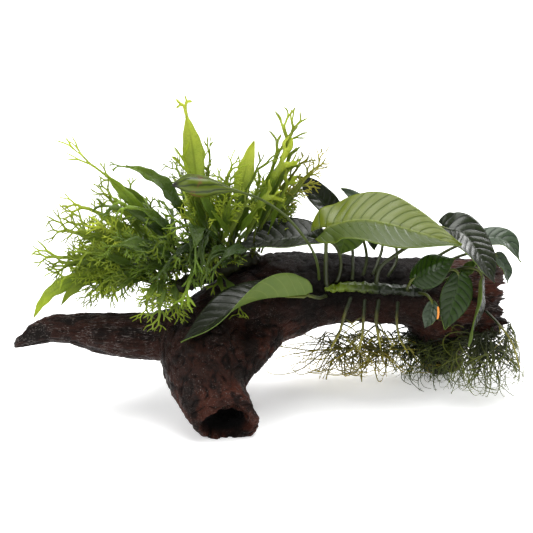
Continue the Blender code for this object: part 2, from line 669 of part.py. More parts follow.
def main() -> None:
    """Builds the plant."""
    clear_scene()
    root = whole_root()
    clearance = wood_clearance(root)
    pieces = driftwood(root)
    pieces.append(rhizome("fern_rhizome", FERN_RHIZOME, clearance))
    pieces.append(rhizome("anubias_rhizome", ANUBIAS_RHIZOME, clearance))
    pieces += [frond_solid(frond, FERN_RHIZOME) for frond in FRONDS]
    pieces += [leaf_solid(leaf) for leaf in LEAVES]
    pieces.append(tube("anubias_rolled_leaf", ROLLED_LEAF, 16, 6, anubias_green()))
    pieces += hanging_roots()
    pieces += [tangle(name, centre, half, clearance) for name, (centre, half) in TANGLES.items()]
    pieces.append(tube("orange_tie", ORANGE_TIE, 3, 4, finish("orange_plastic", (0.8, 0.28, 0.02), 0.5)))
    stand_at_origin(pieces)


main()
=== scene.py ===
"""Looks of a driftwood root planted with a lace java fern and an anubias.

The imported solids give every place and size: each frond and leaf is grown along the midrib of its own solid,
the wood is skinned over the root's solids, and the loose roots fill the outlines kept for them.
Lengths are in millimetres and angles in degrees unless a name says otherwise.
"""

import logging
import math
import random
from dataclasses import dataclass, field
from enum import Enum

import bmesh
import bpy
import numpy as np
from mathutils import Matrix, Vector, noise
from mathutils.bvhtree import BVHTree

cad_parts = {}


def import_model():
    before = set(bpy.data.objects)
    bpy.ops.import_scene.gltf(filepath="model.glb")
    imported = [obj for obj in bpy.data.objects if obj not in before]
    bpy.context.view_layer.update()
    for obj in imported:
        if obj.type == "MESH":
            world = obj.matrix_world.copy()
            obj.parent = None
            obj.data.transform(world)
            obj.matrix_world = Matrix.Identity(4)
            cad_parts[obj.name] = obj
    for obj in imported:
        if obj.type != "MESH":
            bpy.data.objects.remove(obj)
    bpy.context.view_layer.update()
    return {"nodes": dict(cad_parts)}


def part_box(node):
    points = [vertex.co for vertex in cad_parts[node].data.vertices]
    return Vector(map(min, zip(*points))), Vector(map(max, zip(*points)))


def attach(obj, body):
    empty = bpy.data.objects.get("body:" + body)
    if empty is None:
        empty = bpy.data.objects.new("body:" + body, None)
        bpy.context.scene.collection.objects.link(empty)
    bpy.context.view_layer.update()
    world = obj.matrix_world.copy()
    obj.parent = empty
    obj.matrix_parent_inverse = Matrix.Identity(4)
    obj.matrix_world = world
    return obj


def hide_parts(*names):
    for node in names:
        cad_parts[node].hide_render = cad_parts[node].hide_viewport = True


MM = 0.001
SEED = 11
LOG = logging.getLogger("planted_root")
Triple = tuple[float, float, float]
Colour = Triple


# ---------------------------------------------------------------- shader building


class Field:
    """A number in a material: arithmetic on it adds Math nodes."""

    def __init__(self, dresser: "Dresser", socket: bpy.types.NodeSocket) -> None:
        """Keeps the socket and the material that it belongs to."""
        self.dresser = dresser
        self.socket = socket

    def _math(self, operation: str, *terms: object) -> "Field":
        """A Math node on some terms."""
        return self.dresser.node("ShaderNodeMath", {"operation": operation}, dict(enumerate(terms)))

    def __add__(self, other: object) -> "Field":
        """self + other."""
        return self._math("ADD", self, other)

    def __radd__(self, other: object) -> "Field":
        """other + self."""
        return self._math("ADD", other, self)

    def __sub__(self, other: object) -> "Field":
        """self - other."""
        return self._math("SUBTRACT", self, other)

    def __rsub__(self, other: object) -> "Field":
        """other - self."""
        return self._math("SUBTRACT", other, self)

    def __mul__(self, other: object) -> "Field":
        """self * other."""
        return self._math("MULTIPLY", self, other)

    def __rmul__(self, other: object) -> "Field":
        """other * self."""
        return self._math("MULTIPLY", other, self)

    def sine(self) -> "Field":
        """Its sine."""
        return self._math("SINE", self)

    def size(self) -> "Field":
        """Its absolute value."""
        return self._math("ABSOLUTE", self)

    def ramp(self, low: float, high: float, start: float = 0.0, end: float = 1.0) -> "Field":
        """A smooth step.

        Args:
            low: the value at which the step begins.
            high: the value at which it ends.
            start: what it gives at and before low.
            end: what it gives at and after high.

        Returns:
            The stepped value.
        """
        settings = {"interpolation_type": "SMOOTHSTEP"}
        return self.dresser.node("ShaderNodeMapRange", settings, {0: self, 1: low, 2: high, 3: start, 4: end})


class Dresser:
    """Builds one material out of nodes."""

    NUMBER = 2  # an Attribute node's output that is a number
    OBJECT = 3  # a Texture Coordinate node's output that is the place on the object
    COLOUR = 2  # a Mix node's output that is a colour

    def __init__(self, name: str) -> None:
        """Starts an empty material.

        Args:
            name: the finish's name.
        """
        self.material = bpy.data.materials.new(name)
        self.material.use_nodes = True
        self.tree = self.material.node_tree
        self.tree.nodes.clear()

    def node(self, kind: str, settings: dict, inputs: dict, output: int = 0) -> Field:
        """Adds a node.

        Args:
            kind: the node's type.
            settings: attributes set before its sockets; "stops" are a colour ramp's (place, colour) pairs.
            inputs: values or fields by socket name or number.
            output: which of its outputs is returned.

        Returns:
            The chosen output.
        """
        made = self.tree.nodes.new(kind)
        for key, value in settings.items():
            if key == "stops":
                ramp = made.color_ramp
                while len(ramp.elements) < len(value):
                    ramp.elements.new(1.0)
                for element, (place, colour) in zip(ramp.elements, value):
                    element.position = place
                    element.color = (*colour, 1.0)
            else:
                setattr(made, key, value)
        for key, value in inputs.items():
            socket = made.inputs[key]
            if isinstance(value, Field):
                self.tree.links.new(value.socket, socket)
            elif isinstance(value, tuple) and len(value) == 3 and socket.type == "RGBA":
                socket.default_value = (*value, 1.0)
            else:
                socket.default_value = value
        return Field(self, made.outputs[output])

    def attribute(self, name: str) -> Field:
        """The number that a mesh attribute holds."""
        return self.node("ShaderNodeAttribute", {"attribute_name": name}, {}, self.NUMBER)

    def place(self, stretch: Triple = (1.0, 1.0, 1.0)) -> Field:
        """The place on the plant.

        Args:
            stretch: scale along each axis.

        Returns:
            The place in millimetres, stretched.
        """
        scale = tuple(s / MM for s in stretch)
        held = self.node("ShaderNodeTexCoord", {}, {}, self.OBJECT)
        return self.node("ShaderNodeVectorMath", {"operation": "MULTIPLY"}, {0: held, 1: scale})

    def noise(self, vector: Field, scale: float, detail: float = 3.0, roughness: float = 0.55) -> Field:
        """Soft noise around 0.5."""
        inputs = {"Vector": vector, "Scale": scale, "Detail": detail, "Roughness": roughness}
        return self.node("ShaderNodeTexNoise", {}, inputs)

    def mix(self, share: object, first: object, second: object) -> Field:
        """A colour between two."""
        settings = {"data_type": "RGBA", "clamp_factor": True}
        return self.node("ShaderNodeMix", settings, {0: share, 6: first, 7: second}, self.COLOUR)

    def bump(self, height: Field, depth: float, strength: float = 1.0) -> Field:
        """A normal from a height whose full range is a depth in millimetres."""
        inputs = {"Strength": strength, "Distance": depth * MM, "Height": height}
        return self.node("ShaderNodeBump", {}, inputs)

    def surface(self, inputs: dict, through: Colour | None = None, share: float = 0.0) -> bpy.types.Material:
        """Finishes the material.

        Args:
            inputs: the Principled shader's sockets.
            through: colour of the light that passes through a thin leaf.
            share: how much of the surface is that light.

        Returns:
            The material.
        """
        shader = self.node("ShaderNodeBsdfPrincipled", {}, inputs)
        if through:
            glow = self.node("ShaderNodeBsdfTranslucent", {}, {"Color": through})
            shader = self.node("ShaderNodeMixShader", {}, {0: share, 1: shader, 2: glow})
        end = self.tree.nodes.new("ShaderNodeOutputMaterial")
        self.tree.links.new(shader.socket, end.inputs["Surface"])
        return self.material


# ---------------------------------------------------------------- finishes


@dataclass(frozen=True)
class Bogwood:
    """Wet, nearly black wood, red-brown where its bark has gone."""

    dark: Colour = (0.0036, 0.0024, 0.0018)
    brown: Colour = (0.0200, 0.0100, 0.0072)
    red: Colour = (0.070, 0.0195, 0.0105)
    # pale grey of the painted wet glints, also used for the pale flecks round the hollow's rim
    glint_and_fleck: Colour = (0.22, 0.19, 0.175)
    # near black of the painted shade inside the front foot's hollow
    hollow_shade: Colour = (0.003, 0.0025, 0.0025)
    grain_stretch: Triple = (0.12, 1.0, 1.0)
    gloss: float = 0.12
    relief: float = 3.0

    def material(self) -> bpy.types.Material:
        """Builds the finish.

        Returns:
            The material.
        """
        d = Dresser("wet_bogwood")
        place, along = d.place(), d.place(self.grain_stretch)
        grain = d.noise(along, 0.55, 6.0, 0.62)
        crumbs = d.noise(place, 0.75, 6.0, 0.72)
        lengthwise = d.attribute("lengthwise")
        height = d.attribute("height")
        texture = grain * lengthwise + crumbs * (1 - lengthwise)
        colour = d.mix(texture.ramp(0.34, 0.66), self.dark, self.brown)
        patch = d.attribute("red") * d.noise(place, 0.05, 5.0, 0.65).ramp(0.40, 0.58)
        colour = d.mix(patch * texture.ramp(0.3, 0.55, 0.35, 1.0), colour, self.red)
        # painted shade: the low places of the relief, cracks and dips, are darkened towards the dark colour
        colour = d.mix(height.ramp(0.10, 0.44, 0.85, 0.0), colour, self.dark)
        # painted highlights: pale specks stand for wet glints, pale streaks for glints along the grain
        wet_glints = d.noise(place, 0.95, 3.0, 0.6).ramp(0.60, 0.68) * d.noise(place, 0.09, 2.0).ramp(0.44, 0.56)
        grain_glints = d.noise(along, 1.6, 3.0, 0.6).ramp(0.54, 0.66) * d.noise(place, 0.12, 3.0).ramp(0.42, 0.56)
        # pale flecks round the hollow's rim
        rim_flecks = 0.5 * d.attribute("rim") * crumbs.ramp(0.5, 0.7)
        # the painted glints and the rim flecks, mixed towards the pale grey
        pale = wet_glints * (1 - 0.6 * lengthwise) + grain_glints * lengthwise + rim_flecks
        colour = d.mix(pale * 0.75, colour, self.glint_and_fleck)
        # painted shadow: the top of the trunk under the big leaf and its stalks is darkened towards the dark
        # colour
        colour = d.mix(d.attribute("damp") * 0.9, colour, self.dark)
        # painted shade: the inside of the hollow is made near black
        colour = d.mix(d.attribute("hollow"), colour, self.hollow_shade)
        wet = d.noise(place, 0.11, 4.0).ramp(0.35, 0.68, 0.52, 0.24) + texture * 0.12
        return d.surface({
            "Base Color": colour,
            "Roughness": wet,
            "Specular IOR Level": self.gloss,
            "Normal": d.bump(texture + 0.35 * d.noise(place, 2.2, 3.0, 0.6), self.relief),
        })


class BladeTone(Enum):
    """The looks of an anubias leaf's upper side."""

    PALE = "pale"
    DARK = "dark"
    GREY = "grey"
    BRIGHT = "bright"
    DEEP = "deep"


@dataclass(frozen=True)
class AnubiasBlade:
    """Leathery upper side, with curved side veins between raised strips."""

    tone: BladeTone
    valley: Colour
    crown: Colour
    # greyer colour of the painted sheen on the blade's front half, where it would reflect the white room
    front: Colour
    through: Colour
    share: float
    roughness: float
    spot: Colour = (0.03, 0.03, 0.012)
    gloss: float = 0.25
    relief: float = 0.35

    def material(self) -> bpy.types.Material:
        """Builds the finish.

        Returns:
            The material.
        """
        d = Dresser(f"anubias_{self.tone.value}_blade")
        veins = d.attribute("vein")
        aside = d.attribute("aside")
        place = d.place()
        strip = (veins * math.pi).sine().size()
        soft = d.noise(place, 0.05, 4.0)
        # lighter crown colour on the raised strips, partly painted highlight; the valley colour marks the
        # veins
        colour = d.mix(strip.ramp(0.0, 0.75), self.valley, self.crown)
        # painted sheen: one half of the blade is tinted towards the greyer front colour
        colour = d.mix((aside + 0.35 * (soft - 0.5)).ramp(-0.12, 0.25, 0.0, 0.85), colour, self.front)
        colour = d.mix((1 - strip.ramp(0.0, 0.10)) * 0.35, colour, self.valley)
        rim = aside.size().ramp(0.90, 1.0)
        colour = d.mix(rim * 0.45, colour, tuple(min(1.0, 1.5 * c) for c in self.crown))
        midrib = 1 - aside.size().ramp(0.015, 0.05)
        colour = d.mix(midrib * 0.55, colour, tuple(min(1.0, 1.35 * c) for c in self.crown))
        colour = d.mix(d.noise(place, 0.6, 3.0).ramp(0.68, 0.76) * 0.35, colour, self.spot)
        fine = d.noise(place, 1.3, 4.0, 0.6)
        dullness = d.noise(place, 0.09, 3.0).ramp(0.3, 0.7, self.roughness - 0.07, self.roughness + 0.12)
        return d.surface({
            "Base Color": colour,
            "Roughness": dullness,
            "Specular IOR Level": self.gloss,
            "Normal": d.bump(strip.ramp(0.0, 0.3) + 0.5 * fine, self.relief, 0.6),
        }, self.through, self.share)


@dataclass(frozen=True)
class AnubiasUnderside:
    """Matt, lighter green lower side."""

    vein: Colour = (0.150, 0.205, 0.036)
    flesh: Colour = (0.096, 0.152, 0.022)
    through: Colour = (0.25, 0.42, 0.06)
    share: float = 0.2
    roughness: float = 0.5
    gloss: float = 0.3
    relief: float = 0.3

    def material(self) -> bpy.types.Material:
        """Builds the finish.

        Returns:
            The material.
        """
        d = Dresser("anubias_underside")
        veins, place = d.attribute("vein"), d.place()
        strip = (veins * math.pi).sine().size()
        colour = d.mix(strip.ramp(0.0, 0.25), self.vein, self.flesh)
        colour = d.mix(d.noise(place, 0.06, 4.0).ramp(0.4, 0.7) * 0.5, colour, self.vein)
        return d.surface({
            "Base Color": colour,
            "Roughness": self.roughness,
            "Specular IOR Level": self.gloss,
            "Normal": d.bump(strip.ramp(0.0, 0.3) + 0.5 * d.noise(place, 1.5, 3.0), self.relief, 0.5),
        }, self.through, self.share)


class FrondTone(Enum):
    """The looks of a fern frond."""

    FRESH = "fresh"
    LIME = "lime"
    PALE = "pale"
    MIDDLE = "middle"
    DARK = "dark"
    AGED = "aged"


@dataclass(frozen=True)
class FrondGreen:
    """A fern frond: brown-green stalk, netted blade with a dark midrib, and lighter tips."""

    tone: FrondTone
    blade: Colour
    tip: Colour
    through: Colour
    share: float
    roughness: float = 0.36
    stalk: Colour = (0.035, 0.032, 0.007)
    midrib: Colour = (0.05, 0.075, 0.01)
    hollows: float = 0.42  # colour between the veins, as a share of the blade's
    gloss: float = 0.28
    relief: float = 0.45

    def material(self) -> bpy.types.Material:
        """Builds the finish.

        Returns:
            The material.
        """
        d = Dresser(f"fern_{self.tone.value}")
        age, aside = d.attribute("age"), d.attribute("aside")
        shade, run, place = d.attribute("shade"), d.attribute("run"), d.place()
        mottle = d.noise(place, 0.16, 4.0, 0.6)
        colour = d.mix((age + 0.35 * (mottle - 0.5)).ramp(0.45, 0.98), self.blade, self.tip)
        darker = tuple(self.hollows * c for c in self.blade)
        ribs = ((run * 1.25 - aside.size() * 2.2) * math.pi).sine().size()
        net = ribs.ramp(0.0, 0.5) * d.noise(place, 0.9, 3.0).ramp(0.3, 0.6)
        colour = d.mix((1 - net) * 0.5 * (1 - age.ramp(0.75, 0.9)), colour, darker)
        midrib = (1 - aside.size().ramp(0.03, 0.16)) * (1 - age.ramp(0.7, 0.85))
        colour = d.mix(midrib * 0.55, colour, self.midrib)
        colour = d.mix(shade.ramp(0.1, 0.9, 0.65, 0.0), colour, darker)
        colour = d.mix(1 - age.ramp(0.12, 0.36), colour, self.stalk)
        return d.surface({
            "Base Color": colour,
            "Roughness": mottle.ramp(0.3, 0.7, self.roughness - 0.08, self.roughness + 0.14),
            "Specular IOR Level": self.gloss,
            "Normal": d.bump(net + 0.5 * mottle, self.relief, 0.6),
        }, self.through, self.share)


@dataclass(frozen=True)
class Stem:
    """Stalks, rhizomes and thick roots: smooth skin that changes from one green to another."""

    name: str
    first: Colour
    second: Colour
    scar: Colour
    roughness: float = 0.38
    gloss: float = 0.3
    relief: float = 0.5

    def material(self) -> bpy.types.Material:
        """Builds the finish.

        Returns:
            The material.
        """
        d = Dresser(self.name)
        place, age = d.place(), d.attribute("age")
        soft = d.noise(place, 0.12, 4.0, 0.6)
        colour = d.mix((age + 0.5 * (soft - 0.5)).ramp(0.1, 0.9), self.first, self.second)
        marks = d.noise(place, 0.45, 4.0, 0.7).ramp(0.55, 0.68)
        colour = d.mix(marks * 0.7, colour, self.scar)
        return d.surface({
            "Base Color": colour,
            "Roughness": self.roughness,
            "Specular IOR Level": self.gloss,
            "Normal": d.bump(d.noise(place, 0.8, 4.0, 0.6), self.relief, 0.6),
        })


@dataclass(frozen=True)
class RolledLeafSkin:
    """A leaf that hasn't opened: green with pale stripes, a rusty patch and a black tip."""

    green: Colour = (0.020, 0.034, 0.001)
    stripe: Colour = (0.072, 0.102, 0.004)
    stalk: Colour = (0.045, 0.066, 0.006)
    rust: Colour = (0.13, 0.045, 0.02)
    tip: Colour = (0.012, 0.01, 0.008)
    roughness: float = 0.36
    gloss: float = 0.3
    relief: float = 0.4

    def material(self) -> bpy.types.Material:
        """Builds the finish.

        Returns:
            The material.
        """
        d = Dresser("rolled_leaf_skin")
        place, age, turn = d.place(), d.attribute("age"), d.attribute("turn")
        soft = d.noise(place, 0.12, 4.0)
        stripe = ((turn * 9 + age * 7 + soft * 0.6) * math.pi).sine().size()
        colour = d.mix(stripe.ramp(0.15, 0.8), self.green, self.stripe)
        colour = d.mix(1 - age.ramp(0.60, 0.72), colour, self.stalk)
        rust = age.ramp(0.84, 0.88) * (1 - age.ramp(0.90, 0.93)) * soft.ramp(0.50, 0.62)
        colour = d.mix(rust * 0.8, colour, self.rust)
        colour = d.mix(age.ramp(0.955, 0.985), colour, self.tip)
        return d.surface({
            "Base Color": colour,
            "Roughness": self.roughness,
            "Specular IOR Level": self.gloss,
            "Normal": d.bump(stripe + 0.4 * soft, self.relief, 0.6),
        })


@dataclass(frozen=True)
class Nylon:
    """Matt orange tie."""

    bright: Colour = (0.78, 0.27, 0.018)
    worn: Colour = (0.62, 0.17, 0.012)
    roughness: float = 0.42
    relief: float = 0.2

    def material(self) -> bpy.types.Material:
        """Builds the finish.

        Returns:
            The material.
        """
        d = Dresser("orange_nylon")
        place = d.place()
        colour = d.mix(d.noise(place, 0.5, 3.0).ramp(0.4, 0.7), self.bright, self.worn)
        return d.surface({
            "Base Color": colour,
            "Roughness": self.roughness,
            "Normal": d.bump(d.noise(place, 2.0), self.relief, 0.5),
        })


@dataclass(frozen=True)
class PalePaper:
    """Floor of the studio."""

    shade: Colour = (0.9, 0.9, 0.905)
    glow: Colour = (1.0, 1.0, 1.0)
    glow_strength: float = 0.36

    def material(self) -> bpy.types.Material:
        """Builds the finish.

        Returns:
            The material.
        """
        d = Dresser("pale_paper")
        return d.surface({
            "Base Color": self.shade, "Roughness": 0.8, "Specular IOR Level": 0.1,
            "Emission Color": self.glow, "Emission Strength": self.glow_strength,
        })


FROND_GREENS = {
    FrondTone.FRESH: FrondGreen(
        FrondTone.FRESH, (0.078, 0.145, 0.007), (0.400, 0.500, 0.030), (0.50, 0.66, 0.03), 0.22
    ),
    FrondTone.LIME: FrondGreen(
        FrondTone.LIME, (0.125, 0.215, 0.010), (0.560, 0.640, 0.055), (0.64, 0.78, 0.05), 0.26
    ),
    FrondTone.PALE: FrondGreen(
        FrondTone.PALE, (0.290, 0.390, 0.055), (0.620, 0.660, 0.085), (0.64, 0.76, 0.09), 0.34
    ),
    FrondTone.MIDDLE: FrondGreen(
        FrondTone.MIDDLE, (0.044, 0.090, 0.006), (0.220, 0.330, 0.022), (0.32, 0.48, 0.02), 0.16, 0.28
    ),
    FrondTone.DARK: FrondGreen(
        FrondTone.DARK, (0.026, 0.055, 0.005), (0.120, 0.200, 0.014), (0.20, 0.34, 0.02), 0.12, 0.24
    ),
    FrondTone.AGED: FrondGreen(
        FrondTone.AGED, (0.100, 0.165, 0.010), (0.440, 0.400, 0.040), (0.52, 0.52, 0.04), 0.24
    ),
}
BLADE_GREENS = {
    BladeTone.PALE: AnubiasBlade(
        BladeTone.PALE, (0.058, 0.084, 0.002), (0.092, 0.118, 0.003), (0.040, 0.062, 0.012),
        (0.26, 0.34, 0.02), 0.12, 0.32,
    ),
    BladeTone.DARK: AnubiasBlade(
        BladeTone.DARK, (0.0040, 0.0062, 0.0020), (0.0115, 0.0165, 0.0052), (0.009, 0.012, 0.0045),
        (0.03, 0.08, 0.01), 0.05, 0.22,
    ),
    BladeTone.GREY: AnubiasBlade(
        BladeTone.GREY, (0.017, 0.030, 0.015), (0.045, 0.066, 0.037), (0.050, 0.070, 0.044),
        (0.06, 0.12, 0.03), 0.07, 0.26,
    ),
    BladeTone.BRIGHT: AnubiasBlade(
        BladeTone.BRIGHT, (0.030, 0.060, 0.003), (0.062, 0.105, 0.006), (0.046, 0.082, 0.006),
        (0.18, 0.32, 0.01), 0.14, 0.32,
    ),
    BladeTone.DEEP: AnubiasBlade(
        BladeTone.DEEP, (0.006, 0.017, 0.001), (0.017, 0.040, 0.002), (0.012, 0.028, 0.002),
        (0.08, 0.20, 0.01), 0.08, 0.24,
    ),
}
SCALY_STEM = Stem("scaly_stem", (0.012, 0.009, 0.003), (0.020, 0.028, 0.006), (0.045, 0.030, 0.010), 0.55)
LEAF_STALK = Stem("leaf_stalk", (0.016, 0.022, 0.003), (0.085, 0.105, 0.010), (0.012, 0.014, 0.004))
RINGED_SKIN = Stem("ringed_skin", (0.005, 0.009, 0.002), (0.095, 0.140, 0.005), (0.014, 0.020, 0.004), 0.30)
ROOT_SKIN = Stem("root_skin", (0.010, 0.016, 0.003), (0.240, 0.220, 0.025), (0.012, 0.014, 0.004), 0.40)


# ---------------------------------------------------------------- making pieces


def deselect() -> None:
    """Leaves object mode with nothing selected."""
    if bpy.context.object and bpy.context.object.mode != "OBJECT":
        bpy.ops.object.mode_set(mode="OBJECT")
    bpy.ops.object.select_all(action="DESELECT")


def pick(obj: bpy.types.Object) -> None:
    """Selects one object alone and makes it the active one."""
    deselect()
    obj.select_set(True)
    bpy.context.view_layer.objects.active = obj


def apply_modifier(obj: bpy.types.Object, kind: str, **settings: object) -> None:
    """Adds a modifier and applies it.

    Args:
        obj: the piece.
        kind: the modifier's type.
        settings: the modifier's own settings.
    """
    pick(obj)
    modifier = obj.modifiers.new(kind.lower(), kind)
    for key, value in settings.items():
        setattr(modifier, key, value)
    bpy.ops.object.modifier_apply(modifier=modifier.name)


def coordinates(obj: bpy.types.Object) -> np.ndarray:
    """A piece's vertices.

    Args:
        obj: the piece.

    Returns:
        Their places in millimetres, one row each.
    """
    found = np.empty(len(obj.data.vertices) * 3)
    obj.data.vertices.foreach_get("co", found)
    return found.reshape(-1, 3) / MM


def move_to(obj: bpy.types.Object, points: np.ndarray) -> None:
    """Puts the piece's vertices at points in millimetres."""
    obj.data.vertices.foreach_set("co", (points * MM).ravel())
    obj.data.update()


def normals(obj: bpy.types.Object) -> np.ndarray:
    """A piece's vertex normals.

    Args:
        obj: the piece.

    Returns:
        The normals, one row each.
    """
    found = np.empty(len(obj.data.vertices) * 3)
    obj.data.vertex_normals.foreach_get("vector", found)
    return found.reshape(-1, 3)


def write(obj: bpy.types.Object, **values: np.ndarray) -> None:
    """Stores a number for each vertex, under the names that the finishes read.

    Args:
        obj: the piece.
        values: the numbers, or one number for all, by the attribute's name.
    """
    for name, numbers in values.items():
        layer = obj.data.attributes.get(name) or obj.data.attributes.new(name, "FLOAT", "POINT")
        layer.data.foreach_set("value", np.broadcast_to(numbers, len(obj.data.vertices)).astype(np.float32))


def sheet_grid(name: str, columns: int, rows: int) -> tuple[bpy.types.Object, np.ndarray, np.ndarray]:
    """A flat grid, ready to be laid along a midrib.

    Args:
        name: the piece's name.
        columns: faces along it.
        rows: faces across it.

    Returns:
        The piece, each vertex's share of the length, and its place from -1 to 1 across.
    """
    deselect()
    bpy.ops.mesh.primitive_grid_add(x_subdivisions=columns, y_subdivisions=rows, size=2.0)
    made = bpy.context.object
    made.name = made.data.name = name
    flat = coordinates(made) * MM
    return made, (flat[:, 0] + 1) / 2, -flat[:, 1]


def join(pieces: list[bpy.types.Object], name: str) -> bpy.types.Object:
    """Joins pieces into one.

    Args:
        pieces: the pieces, of which the first gives its materials' order.
        name: the name of the whole.

    Returns:
        The joined piece.
    """
    deselect()
    for piece in pieces:
        piece.select_set(True)
    bpy.context.view_layer.objects.active = pieces[0]
    if len(pieces) > 1:
        bpy.ops.object.join()
    made = bpy.context.object
    made.name = made.data.name = name
    return made


def finish_piece(obj: bpy.types.Object, stands_for: list[str]) -> bpy.types.Object:
    """Smooths a piece, fixes it to the plant and hides the solids that it stands for.

    Args:
        obj: the piece.
        stands_for: the solids that it replaces.

    Returns:
        The piece.
    """
    pick(obj)
    bpy.ops.object.shade_smooth()
    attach(obj, "root")
    if stands_for:
        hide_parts(*stands_for)
    LOG.info("%s: %d faces", obj.name, len(obj.data.polygons))
    return obj


def dress(obj: bpy.types.Object, *materials: bpy.types.Material) -> None:
    """Gives a piece its materials, in order, and no others."""
    obj.data.materials.clear()
    for material in materials:
        obj.data.materials.append(material)


def wobble(places: np.ndarray, pitch: float, seed: float) -> np.ndarray:
    """Smooth noise.

    Args:
        places: where it is wanted, one row each.
        pitch: distance between its crests, in the same unit.
        seed: picks one of the possible patterns.

    Returns:
        Numbers from -1 to 1.
    """
    offset = Vector((seed * 17.3, seed * 5.1, -seed * 9.7))
    return np.array([noise.noise(Vector(place) / pitch + offset) for place in places])


def strand(name: str, routes: list[tuple[np.ndarray, np.ndarray]], sides: int) -> bpy.types.Object:
    """Round strands along routes, as one mesh.

    Args:
        name: the piece's name.
        routes: for each strand its points and its radii, in millimetres.
        sides: corners round each strand, an even number.

    Returns:
        The piece, with each vertex's share of its strand's length in "age".
    """
    curve = bpy.data.curves.new(name, "CURVE")
    curve.dimensions = "3D"
    curve.bevel_depth = MM
    curve.bevel_resolution = sides // 2 - 2
    for points, radii in routes:
        spline = curve.splines.new("POLY")
        spline.points.add(len(points) - 1)
        rows = np.c_[np.array(points) * MM, np.ones(len(points))]
        spline.points.foreach_set("co", rows.ravel())
        spline.points.foreach_set("radius", np.array(radii, dtype=float))
    made = bpy.data.objects.new(name, curve)
    bpy.context.scene.collection.objects.link(made)
    pick(made)
    bpy.ops.object.convert(target="MESH")
    made = bpy.context.object
    bpy.ops.object.mode_set(mode="EDIT")
    bpy.ops.mesh.select_all(action="SELECT")
    bpy.ops.mesh.fill_holes(sides=sides)
    bpy.ops.object.mode_set(mode="OBJECT")
    ages = np.concatenate([np.repeat(np.linspace(0, 1, len(points)), sides) for points, _ in routes])
    write(made, age=ages)
    return made


# ---------------------------------------------------------------- midribs


def eased(knots: np.ndarray, values: np.ndarray, at: np.ndarray) -> np.ndarray:
    """Smooth values between knots.

    Args:
        knots: where the values are known, rising.
        values: one row for each knot.
        at: where values are wanted.

    Returns:
        One row for each place asked for.
    """
    steps = np.diff(knots)[:, None]
    slopes = np.diff(values, axis=0) / steps
    inner = (slopes[:-1] * steps[1:] + slopes[1:] * steps[:-1]) / (steps[:-1] + steps[1:])
    slope = np.vstack([slopes[:1], inner, slopes[-1:]])
    span = np.clip(np.searchsorted(knots, at, side="right") - 1, 0, len(knots) - 2)
    step = steps[span]
    t = ((at - knots[span])[:, None]) / step
    return (
        (2 * t**3 - 3 * t**2 + 1) * values[span] + (t**3 - 2 * t**2 + t) * step * slope[span]
        + (3 * t**2 - 2 * t**3) * values[span + 1] + (t**3 - t**2) * step * slope[span + 1]
    )


def unit(rows: np.ndarray) -> np.ndarray:
    """Rows scaled to length one."""
    return rows / np.maximum(np.linalg.norm(rows, axis=-1, keepdims=True), 1e-9)


